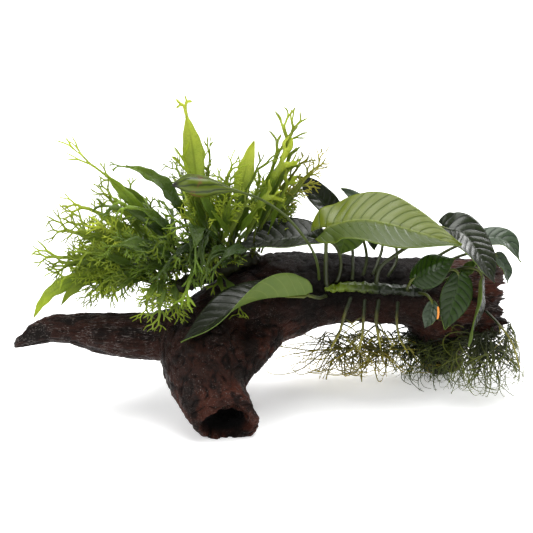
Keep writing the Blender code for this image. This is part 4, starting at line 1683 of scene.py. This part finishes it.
LEAF_LOOKS = {
    "big_pale": LeafLook(BladeTone.PALE, veins=14, lobe=0.42, ridge=0.28, ruffle=1.6, stalk_half=1.7),
    "dark_right": LeafLook(BladeTone.DARK, veins=11, lobe=0.2, ridge=0.45, ruffle=1.2, stalk_half=1.5),
    "far_right": LeafLook(BladeTone.GREY, veins=8, ridge=0.5),
    "front_twisted": LeafLook(BladeTone.DARK, veins=12, lobe=0.3, ridge=0.5, ruffle=0.8, stalk_half=1.5),
    "dark_back_left": LeafLook(BladeTone.DARK, veins=10, ridge=0.45, ruffle=1.2),
    "high_back": LeafLook(BladeTone.DARK, veins=8, ridge=0.6),
    "back_tip": LeafLook(BladeTone.GREY, veins=6),
    "green_under": LeafLook(BladeTone.BRIGHT, veins=7, ruffle=0.6),
    "cupped": LeafLook(BladeTone.DEEP, veins=8, ruffle=0.6),
    "hanging_dark": LeafLook(BladeTone.DEEP, veins=8, ridge=0.4),
    "small_grey": LeafLook(BladeTone.GREY, veins=5, ruffle=0.4),
    "hanging_edge_on": LeafLook(BladeTone.DARK, veins=8),
    "right_drooping": LeafLook(BladeTone.GREY, veins=5),
    "small_bright": LeafLook(BladeTone.BRIGHT, veins=4, ruffle=0.3),
    "dark_tip": LeafLook(BladeTone.DARK, veins=5),
}


@dataclass
class Anubias:
    """The anubias: broad leaves on stalks, one leaf still rolled, a creeping rhizome and hanging roots."""

    solids: Solids
    blade_thickness: float = 0.6
    ring_pitch: float = 3.9  # between the rings of the creeping stem
    rootlets: int = 7  # side rootlets on each hanging root
    stalk_points: int = 22
    under_points: int = 10  # of a stalk, under its blade
    tip_power: float = 0.5
    bud_places: tuple[float, ...] = (0.0, 0.55, 0.68, 0.76, 0.84, 0.94, 1.0)
    bud_sizes: tuple[float, ...] = (0.85, 0.62, 0.62, 1.15, 1.35, 1.2, 0.8)
    chance: random.Random = field(default_factory=lambda: random.Random(SEED + 1))

    def build(self) -> None:
        """Models and dresses the whole plant."""
        self.blades = {tone: finish.material() for tone, finish in BLADE_GREENS.items()}
        self.underside = AnubiasUnderside().material()
        self.stalk = LEAF_STALK.material()
        rhizome = self.solids.tree(["anubias_rhizome"])
        for node in self.solids.named("anubias_leaf_"):
            self.leaf(node, self.solids.midrib(node, rhizome), LEAF_LOOKS[node.removeprefix("anubias_leaf_")])
        self.rolled_leaf()
        self.rhizome()
        self.hanging_roots()

    def leaf(self, node: str, midrib: Midrib, look: LeafLook) -> None:
        """One leaf: a blade with its side veins pressed in, on a round stalk.

        Args:
            node: the solid that it stands for.
            midrib: where it grows.
            look: how it is finished.
        """
        name = node.replace("anubias_leaf_", "broad_leaf_")
        base, width = midrib.knots[5], max(midrib.halves)
        length = midrib.length - base
        back = 0.8 * width
        blade_line = self._blade_line(midrib, base, back)
        columns, rows = max(36, round(length * 1.1)), max(16, 2 * round(width * 0.62))
        made, share, v = sheet_grid(name, columns, rows)
        u = 0.003 + 0.997 * share
        half = width * np.sin(math.pi * u**0.72) ** (0.62 + self.tip_power * u**4)
        phase = self.chance.uniform(0, 6)
        run = back + u * length - look.lobe * width * (1 - u) ** 7 * v**2
        size = np.abs(v)
        knots = np.array(midrib.knots[6:13])
        slopes = np.array(midrib.rises[6:13]) / np.array(midrib.halves[6:13])
        folds = np.interp(base + u * length, knots, slopes)
        vein = look.veins * (u**0.92 - 0.17 * size**1.4) + 0.5 * (v > 0)
        strip = np.abs(np.sin(math.pi * vein)) ** 0.8
        above = folds * half * size**1.3
        raised = look.ridge * (strip - 0.6) * np.minimum(1, 4 * size) * (1 - size**6)
        above += raised * np.minimum(1, half / 8)
        above -= 0.7 * np.exp(-((v * half / 1.5) ** 2)) * np.minimum(1, 6 * (1 - u))
        above += look.ruffle * size**3 * np.sin(2 * math.pi * 1.6 * u + phase + 1.7 * (v > 0))
        above += look.ruffle * 0.8 * size * wobble(np.c_[u * length, v * half, u * 0], 24.0, phase)
        move_to(made, blade_line.surface(run, v * half, above))
        write(made, vein=vein, aside=v, age=u)
        apply_modifier(made, "WELD", merge_threshold=0.02 * MM)
        dress(made, self.blades[look.tone], self.underside, self.stalk)
        apply_modifier(
            made, "SOLIDIFY", thickness=self.blade_thickness * MM, offset=-1.0, material_offset=1,
            material_offset_rim=1,
        )
        stalk = self._stalk(name, midrib, blade_line, base, back, look.stalk_half, min(0.5 * length, 18.0))
        finish_piece(join([made, stalk], name), [node])

    def _blade_line(self, midrib: Midrib, base: float, back: float) -> Midrib:
        """A leaf's midrib from the base of its blade, carried straight back under the lobes.

        Args:
            midrib: the leaf's whole midrib.
            base: where its blade begins.
            back: how far the line is carried back.

        Returns:
            The blade's midrib.
        """
        run = np.linspace(base + 2.0, midrib.length, 160)
        centres, ups = midrib.at(midrib.centres, run), midrib.at(midrib.ups, run)
        along = unit(centres[1:2] - centres[:1])[0]
        steps = np.linspace(back + 2.0, 0, 24)[:-1]
        before = centres[0] - steps[:, None] * along
        return Midrib(np.vstack([before, centres]), np.vstack([np.repeat(ups[:1], len(steps), 0), ups]))

    def _stalk(
        self, name: str, midrib: Midrib, blade: Midrib, base: float, back: float, half: float, reach: float
    ) -> bpy.types.Object:
        """A leaf's stalk, which runs on under its blade as the midrib.

        Args:
            name: the leaf's name.
            midrib: the leaf's whole midrib.
            blade: the blade's midrib.
            base: where the blade begins on the whole midrib.
            back: where it begins on the blade's.
            half: the stalk's half width.
            reach: how far it runs on under the blade.

        Returns:
            The stalk.
        """
        level = np.zeros(self.stalk_points)
        points = midrib.surface(np.linspace(0, base - 1.5, self.stalk_points), level, level)
        under = np.linspace(back + 2.0, back + reach, self.under_points)
        shrink = np.linspace(0.9, 0.25, self.under_points) * half
        drop = -self.blade_thickness - 0.55 * shrink - 0.5
        below = blade.surface(under, np.zeros(self.under_points), drop)
        radii = np.concatenate([np.linspace(1.1, 0.9, self.stalk_points) * half, shrink])
        made = strand(name + "_stalk", [(np.vstack([points, below]), radii)], 8)
        write(made, vein=0.0, aside=0.0)
        dress(made, self.stalk)
        return made

    def _tube_route(self, node: str, sides: int, above: Vector) -> tuple[np.ndarray, np.ndarray]:
        """The line of a round solid.

        Args:
            node: the solid.
            sides: corners round it.
            above: a place near which the line starts.

        Returns:
            Its centres and its radii.
        """
        bm = self.solids.merged(node)
        rings = self.solids.rings(bm, sides)
        centres = np.array([sum((v.co for v in ring), Vector()) / len(ring) / MM for ring in rings])
        radii = np.array([
            sum((v.co / MM - Vector(c)).length for v in ring) / len(ring)
            for ring, c in zip(rings, centres)
        ])
        bm.free()
        if (Vector(centres[0]) - above).length > (Vector(centres[-1]) - above).length:
            centres, radii = centres[::-1], radii[::-1]
        knots = np.concatenate([[0.0], np.cumsum(np.linalg.norm(np.diff(centres, axis=0), axis=1))])
        fine = np.linspace(0, knots[-1], 90)
        return eased(knots, centres, fine), np.maximum(np.interp(fine, knots, radii), 0.25)

    def _rhizome_middle(self) -> Vector:
        """The middle of the rhizome."""
        low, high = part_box("anubias_rhizome")
        return (low + high) / 2 / MM

    def rolled_leaf(self) -> None:
        """The young leaf that is still rolled, at the end of its long stalk."""
        points, radii = self._tube_route("anubias_rolled_leaf", 6, self._rhizome_middle())
        sides = 20
        ages = np.linspace(0, 1, len(points))
        radii = radii * np.interp(ages, self.bud_places, self.bud_sizes)
        made = strand("rolled_leaf", [(points, radii)], sides)
        count = len(made.data.vertices)
        turn = (np.arange(count) % sides) / sides
        age = np.repeat(ages, count // len(points))[:count]
        places = coordinates(made)
        swell = np.clip((age - 0.7) / 0.06, 0, 1) * np.clip((1 - age) / 0.04, 0, 1)
        groove = np.abs(np.sin(math.pi * (turn * 1.0 + age * 1.6))) ** 0.35
        lift = swell * (0.9 * (groove - 0.8) + 0.25 * wobble(places, 6.0, 4.0))
        move_to(made, places + normals(made) * lift[:, None])
        write(made, turn=turn, age=age)
        dress(made, RolledLeafSkin().material())
        finish_piece(made, ["anubias_rolled_leaf"])

    def rhizome(self) -> None:
        """The knobbly creeping stem, ringed where old leaves have gone."""
        made = self.solids.copy("anubias_rhizome", "ringed_stem")
        apply_modifier(made, "REMESH", mode="VOXEL", voxel_size=0.7 * MM)
        apply_modifier(made, "SMOOTH", iterations=5, factor=0.5)
        places = coordinates(made)
        turns = places[:, 0] * 2 * math.pi / self.ring_pitch + 2.4 * wobble(places, 8.0, 5.0)
        rings = 0.18 * np.sin(turns)
        move_to(made, places + normals(made) * (rings + 1.3 * wobble(places, 4.6, 6.0))[:, None])
        low, high = places[:, 0].min(), places[:, 0].max()
        write(made, age=(1 - (places[:, 0] - low) / (high - low)) ** 2)
        dress(made, RINGED_SKIN.material())
        finish_piece(made, ["anubias_rhizome"])

    def hanging_roots(self) -> None:
        """The thick roots that hang below the rhizome, each with a few side rootlets."""
        skin = ROOT_SKIN.material()
        for node in self.solids.named("anubias_root_"):
            points, radii = self._tube_route(node, 4, self._rhizome_middle())
            bends = wobble(points, 14.0, 7.0)[:, None] * np.array([0.8, 0.5, 0])
            down = np.linspace(0, 1, len(points))[:, None]
            routes = [(points + bends * down, radii * np.linspace(0.9, 0.55, len(points)))]
            for _ in range(self.rootlets):
                index = self.chance.randrange(25, len(points) - 2)
                routes.append(self._rootlet(points[index], radii[index]))
            made = strand(node.replace("anubias_", "hanging_"), routes, 8)
            dress(made, skin)
            finish_piece(made, [node])

    def _rootlet(self, start: np.ndarray, radius: float) -> tuple[np.ndarray, np.ndarray]:
        """A thin side root that droops from a thicker one.

        Args:
            start: where it leaves the thicker root.
            radius: the thicker root's radius there.

        Returns:
            Its points and its radii.
        """
        heading = self.chance.uniform(0, 2 * math.pi)
        length = self.chance.uniform(8, 22)
        t = np.linspace(0, 1, 12)[:, None]
        out = np.array([math.cos(heading), 0.5 * math.sin(heading), -0.25])
        points = start + out * length * t + np.array([0, 0, -0.5]) * length * t**2
        points[:, 2] = np.maximum(points[:, 2], 1.2)
        return points, np.linspace(0.45, 0.2, 12) * max(0.8, radius)


# ---------------------------------------------------------------- loose roots


@dataclass(frozen=True)
class TangleLook:
    """How a mass of fine roots grows."""

    strands: int
    steps: int
    step: float
    wander: float
    thick: float
    core: Colour
    tips: Colour
    spread: Triple = (1.0, 1.0, 1.0)  # size over that of the outline
    down: float = 0.15
    rise: float = -0.1  # the lowest place of a start, from -1 to 1
    lowest: float = 0.9  # how near the floor they come
    bunch: float = 0.7  # how far from the middle they start, as a share of the outline


TANGLE_LOOKS = {
    "foot": TangleLook(340, 19, 2.2, 0.24, 0.56, (0.005, 0.008, 0.002), (0.060, 0.080, 0.008), down=0.35),
    "side": TangleLook(
        160, 24, 2.3, 0.16, 0.54, (0.016, 0.022, 0.003), (0.110, 0.130, 0.012), (1.05, 0.75, 1.0), 0.3,
        lowest=9.0,
    ),
    "under_rhizome": TangleLook(
        150, 27, 2.3, 0.075, 0.54, (0.075, 0.072, 0.006), (0.460, 0.370, 0.045), (1.6, 0.65, 1.1), 0.25,
        rise=0.1, lowest=16.0, bunch=0.55,
    ),
}


@dataclass
class LooseRoots:
    """The masses of fine roots below the anubias."""

    wood: BVHTree
    low: Vector
    high: Vector
    floor_gap: float = 0.9
    too_near: float = 0.7  # to the wood's solids, for a root's middle
    skin_gap: float = 0.8  # where a root that comes too near is moved to
    box_gap: float = 1.0
    chance: random.Random = field(default_factory=lambda: random.Random(SEED + 2))

    def build(self) -> None:
        """Models and dresses each mass."""
        for label, look in TANGLE_LOOKS.items():
            node = f"root_tangle_{label}"
            low, high = (np.array(corner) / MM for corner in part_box(node))
            routes = [self._route(low, high, look) for _ in range(look.strands)]
            made = strand(f"fine_roots_{label}", routes, 4)
            scars = tuple(0.5 * c for c in look.core)
            dress(made, Stem(f"fine_root_{label}", look.core, look.tips, scars, 0.5).material())
            finish_piece(made, [node])

    def _route(self, low: np.ndarray, high: np.ndarray, look: TangleLook) -> tuple[np.ndarray, np.ndarray]:
        """One wandering root inside an outline.

        Args:
            low: the outline's lowest corner.
            high: its highest corner.
            look: how the mass grows.

        Returns:
            The root's points and radii.
        """
        middle, half = (low + high) / 2, (high - low) / 2 * np.array(look.spread)
        between = self.chance.uniform
        start = [between(-1, 1) * look.bunch, between(-0.7, 0.7), between(look.rise, 1.0)]
        place = middle + half * np.array(start)
        heading = unit(np.array([between(-1, 1), between(-1, 1), between(-0.8, 0.15)]))
        bend = unit(np.array([between(-1, 1), between(-1, 1), between(-1, 1)]))
        points = [place]
        lowest = look.lowest * between(0.45, 1.3) if look.lowest > self.floor_gap else self.floor_gap
        for _ in range(look.steps):
            kink = np.array([self.chance.gauss(0, 1) for _ in range(3)]) * 0.55
            heading = heading + look.wander * (kink + 0.35 * bend)
            heading[2] -= 0.06 * look.down * (place[2] > 8)
            gone = (place - middle) / half
            out = float(np.linalg.norm(gone))
            if out > 1.0:
                heading = heading - 0.3 * min(out - 1.0, 1.0) * unit(gone)
            heading = unit(heading)
            place = self._clear(place + heading * look.step, lowest)
            points.append(place)
        width = look.thick * between(0.6, 1.35)
        return np.array(points), np.linspace(width, 0.35 * width, len(points))

    def _clear(self, place: np.ndarray, lowest: float) -> np.ndarray:
        """A place moved out of the wood, off the floor and inside the plant's own box.

        Args:
            place: the place.
            lowest: the least height.

        Returns:
            The place that is free.
        """
        spot, normal, _, _ = self.wood.find_nearest(Vector(place))
        if (Vector(place) - spot).dot(normal) < self.too_near:
            place = np.array(spot + normal * self.skin_gap)
        inside = np.array(self.low)[:2] + self.box_gap, np.array(self.high)[:2] - self.box_gap
        place[:2] = np.clip(place[:2], *inside)
        place[2] = max(place[2], lowest)
        return place


# ---------------------------------------------------------------- wood


@dataclass(frozen=True)
class Limb:
    """A limb's middle line, which its grain follows."""

    centres: np.ndarray


@dataclass
class Driftwood:
    """The root, skinned over its six solids as the one grown piece that it is."""

    SLICES = 6  # slices of a solid that give its middle line
    POINTS = 40  # points of a middle line
    SMALL = 0.08  # share of a limb's grain below which it is left out
    GRAIN = (0.16, 1.0, 1.0)  # how the grain is drawn out along a limb

    solids: Solids
    voxel: float = 1.18
    swell: float = 0.8  # how far the solids are grown, to close their splits and make up for the smoothing
    splinter_depth: float = 15.0
    mouth_height: float = 12.0
    mouth_aside: float = 5.0
    mouth_halves: tuple[float, float, float] = (18.5, 30.0, 11.5)
    mouth_depth: float = 17.0

    def build(self) -> bpy.types.Object:
        """Models and dresses the wood.

        Returns:
            The finished wood.
        """
        nodes = self.solids.named("driftwood_")
        pieces = [self.solids.copy(node, node + "_skin") for node in nodes]
        for piece in pieces:
            places = coordinates(piece)
            move_to(piece, places + normals(piece) * self.swell)
        made = join(pieces, "driftwood")
        apply_modifier(made, "REMESH", mode="VOXEL", voxel_size=self.voxel * MM)
        apply_modifier(made, "SMOOTH", iterations=6, factor=0.5)
        self._carve(made, nodes)
        dress(made, Bogwood().material())
        return finish_piece(made, nodes)

    def _limbs(self, nodes: list[str]) -> list[Limb]:
        """The middle line of each solid, through the centres of slices across its longest direction.

        Args:
            nodes: the solids.

        Returns:
            A limb for each.
        """
        found = []
        for node in nodes:
            mesh = self.solids.nodes[node].data
            points = np.array([vertex.co for vertex in mesh.vertices]) / MM
            middle = points.mean(0)
            axis = np.linalg.svd(points - middle, full_matrices=False)[2][0]
            along = (points - middle) @ axis
            edges = np.linspace(along.min(), along.max(), self.SLICES + 1)
            slices = [points[(along >= a) & (along <= b)] for a, b in zip(edges, edges[1:])]
            centres = np.array([(s.min(0) + s.max(0)) / 2 for s in slices if len(s)])
            found.append(Limb(centres))
        return found

    def _grain_places(self, places: np.ndarray, limb: Limb) -> tuple[np.ndarray, np.ndarray]:
        """Coordinates in a limb's own directions.

        Args:
            places: the wood's points.
            limb: the limb.

        Returns:
            The coordinates along and across the limb, and the distance from its middle line.
        """
        fine = np.linspace(0, len(limb.centres) - 1, self.POINTS)
        index = np.arange(len(limb.centres))
        line = np.stack([np.interp(fine, index, limb.centres[:, i]) for i in range(3)], axis=1)
        run = np.concatenate([[0.0], np.cumsum(np.linalg.norm(np.diff(line, axis=0), axis=1))])
        alongs = unit(np.gradient(line, axis=0))
        nearest = np.argmin(((places[:, None, :] - line[None]) ** 2).sum(2), axis=1)
        offset = places - line[nearest]
        ahead = (offset * alongs[nearest]).sum(1)
        level = np.array([0.0, 0.0, 1.0] if abs(alongs[self.POINTS // 2, 2]) < 0.7 else [0.0, 1.0, 0.0])
        side = unit(np.cross(alongs[nearest], level))
        up = np.cross(side, alongs[nearest])
        across = np.stack([run[nearest] + ahead, (offset * side).sum(1), (offset * up).sum(1)], axis=1)
        return across, np.linalg.norm(offset, axis=1)

    def _carve(self, made: bpy.types.Object, nodes: list[str]) -> None:
        """Raises the grain, lumps and cracks, opens the hollow and splinters the broken end.

        Args:
            made: the smooth skin.
            nodes: the solids that it covers.
        """
        places = coordinates(made)
        outward = normals(made)
        limbs = self._limbs(nodes)
        found = [self._grain_places(places, limb) for limb in limbs]
        distance = np.stack([reach for _, reach in found])
        weight = np.exp(-distance / 6.0)
        weight /= weight.sum(0)
        grain = np.zeros(len(places))
        deep = np.zeros(len(places))
        stretch = np.array(self.GRAIN)
        for (across, _), share in zip(found, weight):
            used = np.flatnonzero(share > self.SMALL)
            rows = across[used] * stretch
            grain[used] += share[used] * wobble(rows, 2.7, 1.0)
            deep[used] += share[used] * wobble(rows * np.array([0.7, 1, 1]), 8.5, 2.0)
        lumps = wobble(places, 24.0, 3.0)
        crumbs = wobble(places, 4.6, 4.0) + 0.6 * wobble(places, 2.6, 12.0)
        cracks = 1 - np.abs(wobble(places, 11.0, 5.0)) * 3.2
        front = np.clip((-25 - places[:, 1]) / 25, 0, 1) * np.clip((places[:, 0] + 95) / 20, 0, 1)
        left = np.clip((-75 - places[:, 0]) / 25, 0, 1)
        right = np.clip((places[:, 0] - 120) / 35, 0, 1)
        lengthwise = np.clip(left + 0.8 * right + 0.25 * (1 - front), 0, 1)
        rough = 1 - 0.7 * lengthwise
        depth = 1.5 * lumps + 1.5 * deep * (0.4 + 0.6 * lengthwise) + 1.25 * grain * (0.3 + 0.7 * lengthwise)
        depth += 0.8 * crumbs * rough - 1.3 * np.clip(cracks, 0, 1) ** 3 * rough
        places = places + outward * depth[:, None]
        places, hollow, rim = self._hollow(places, outward)
        places = self._splinter(places)
        places[:, 2] = np.maximum(places[:, 2], 0.0)
        move_to(made, places)
        foot = front * np.clip((48 - places[:, 2]) / 18, 0, 1)
        arch = np.exp(-(((places[:, 0] - 8) / 26) ** 2)) * np.clip((75 - places[:, 2]) / 20, 0, 1)
        red = np.clip(1.7 * foot + arch + 0.75 * right + rim + 0.3, 0, 1)
        trunk = np.clip((places[:, 0] + 15) / 50, 0, 1) * np.clip((150 - places[:, 0]) / 35, 0, 1)
        # mask of the painted shadow that the big leaf and its stalks throw on the top of the trunk
        damp = trunk * np.clip((places[:, 2] - 62) / 25, 0, 1)
        height = 0.5 + 0.25 * (depth - depth.mean()) / depth.std()
        write(made, height=height, lengthwise=lengthwise, red=red, hollow=hollow, damp=damp, rim=rim)

    def _hollow(self, places: np.ndarray, outward: np.ndarray) -> tuple[np.ndarray, np.ndarray, np.ndarray]:
        """Opens the wide hollow in the front foot's end, with a knocked rim.

        Args:
            places: the wood's points.
            outward: its normals.

        Returns:
            The points moved, how far inside the hollow each one is, and how near its rim.
        """
        low = np.array(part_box("driftwood_front_foot")[0]) / MM
        end = places[(places[:, 1] < low[1] + self.mouth_height) & (places[:, 0] > low[0])]
        middle = (end[:, 0].min() + end[:, 0].max()) / 2
        mouth = np.array([middle + self.mouth_aside, low[1], self.mouth_height])
        scaled = (places - mouth) / np.array(self.mouth_halves)
        reach = np.linalg.norm(scaled, axis=1) + 0.14 * wobble(places, 9.0, 8.0)
        rim = np.exp(-((reach - 1.12) / 0.22) ** 2)
        bowl = np.clip(1.05 - reach, 0, 1) ** 0.6
        moved = places + outward * (rim * wobble(places, 6.0, 8.5) * 2.6 + rim * 1.2)[:, None]
        moved += bowl[:, None] * self.mouth_depth * np.array([-0.15, 1.0, 0.30])
        return moved, np.clip((1.06 - reach) / 0.22, 0, 1), np.exp(-(((reach - 1.3) / 0.2) ** 2))

    def _splinter(self, places: np.ndarray) -> np.ndarray:
        """Breaks the right end back into ragged splinters.

        Args:
            places: the wood's points.

        Returns:
            The points moved.
        """
        edge = places[:, 0].max()
        near = np.clip((places[:, 0] - edge + 2.2 * self.splinter_depth) / (1.2 * self.splinter_depth), 0, 1)
        rows = places * np.array([0.0, 0.55, 1.35])
        back = 0.5 + 0.9 * wobble(rows, 7.5, 9.0) + 0.35 * wobble(rows, 2.6, 10.0)
        moved = places.copy()
        moved[:, 0] -= near * np.clip(back, 0, 1.3) * self.splinter_depth
        return moved


# ---------------------------------------------------------------- tie and studio


@dataclass
class OrangeTie:
    """The end of the tie that holds the anubias to the wood."""

    solids: Solids
    flatten: Triple = (1.15, 0.7, 1.0)  # size over that of its solid

    def build(self) -> None:
        """Models and dresses the tie: a flat band with rounded edges."""
        made = self.solids.copy("orange_tie", "tie_end")
        apply_modifier(made, "SUBSURF", levels=3, render_levels=3)
        places = coordinates(made)
        middle = places.mean(0)
        places = middle + (places - middle) * np.array(self.flatten)
        move_to(made, places)
        dress(made, Nylon().material())
        finish_piece(made, ["orange_tie"])


@dataclass
class Studio:
    """Pale floor, soft light and the camera."""

    aim: Vector = field(default_factory=lambda: Vector((-1.37, -23.1, 115.4)) * MM)
    elevation: float = 20.0
    distance: float = 1.5  # metres
    lens: float = 131.2
    floor_width: float = 14.0  # metres
    sky_strength: float = 0.46

    def build(self) -> None:
        """Places everything that isn't the plant."""
        bpy.context.scene.view_settings.view_transform = "Standard"
        self.floor()
        self.sky()
        self.softbox("overhead", (0.1, 0.25, 1.7), 1.3, 46.0)
        self.softbox("front_left", (-1.3, -1.5, 1.2), 0.9, 19.0)
        self.softbox("right_rear", (1.2, 1.3, 1.1), 0.8, 20.0)
        self.camera()

    def floor(self) -> None:
        """The pale floor that the plant stands on."""
        deselect()
        bpy.ops.mesh.primitive_plane_add(size=self.floor_width)
        made = bpy.context.object
        made.name = "studio_floor"
        made.data.materials.append(PalePaper().material())

    def sky(self) -> None:
        """Even white light from all round."""
        world = bpy.data.worlds.new("white_room")
        world.use_nodes = True
        background = world.node_tree.nodes["Background"]
        background.inputs["Color"].default_value = (1.0, 1.0, 1.0, 1.0)
        background.inputs["Strength"].default_value = self.sky_strength
        bpy.context.scene.world = world

    def softbox(self, name: str, place: Triple, width: float, power: float) -> None:
        """A square soft light that faces the plant.

        Args:
            name: its name.
            place: where it hangs, in metres.
            width: its width in metres.
            power: its power in watts.
        """
        lamp = bpy.data.lights.new(name, "AREA")
        lamp.size = width
        lamp.energy = power
        made = bpy.data.objects.new(name, lamp)
        made.location = place
        made.rotation_euler = (self.aim - Vector(place)).to_track_quat("-Z", "Y").to_euler()
        bpy.context.scene.collection.objects.link(made)

    def camera(self) -> None:
        """The camera, a little above the plant and square to its front."""
        lens = bpy.data.cameras.new("camera")
        lens.lens = self.lens
        lens.clip_end = 50.0
        made = bpy.data.objects.new("camera", lens)
        pitch = math.radians(self.elevation)
        made.location = self.aim + Vector((0, -math.cos(pitch), math.sin(pitch))) * self.distance
        made.rotation_euler = (self.aim - made.location).to_track_quat("-Z", "Y").to_euler()
        bpy.context.scene.collection.objects.link(made)
        bpy.context.scene.camera = made


def main() -> None:
    """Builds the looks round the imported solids."""
    logging.basicConfig(level=logging.INFO, format="%(message)s")
    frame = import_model()
    solids = Solids(frame["nodes"])
    wood_names = solids.named("driftwood_")
    wood_tree = solids.tree(wood_names)
    leaf_tree = solids.tree(wood_names + solids.named("anubias_leaf_", "anubias_rolled"))
    low = Vector([min(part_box(name)[0][i] for name in frame["nodes"]) for i in range(3)]) / MM
    high = Vector([max(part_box(name)[1][i] for name in frame["nodes"]) for i in range(3)]) / MM
    Studio().build()
    Driftwood(solids).build()
    Anubias(solids).build()
    LooseRoots(wood_tree, low, high).build()
    Fern(solids, leaf_tree, low, high).build()
    OrangeTie(solids).build()


if __name__ == "__main__":
    main()
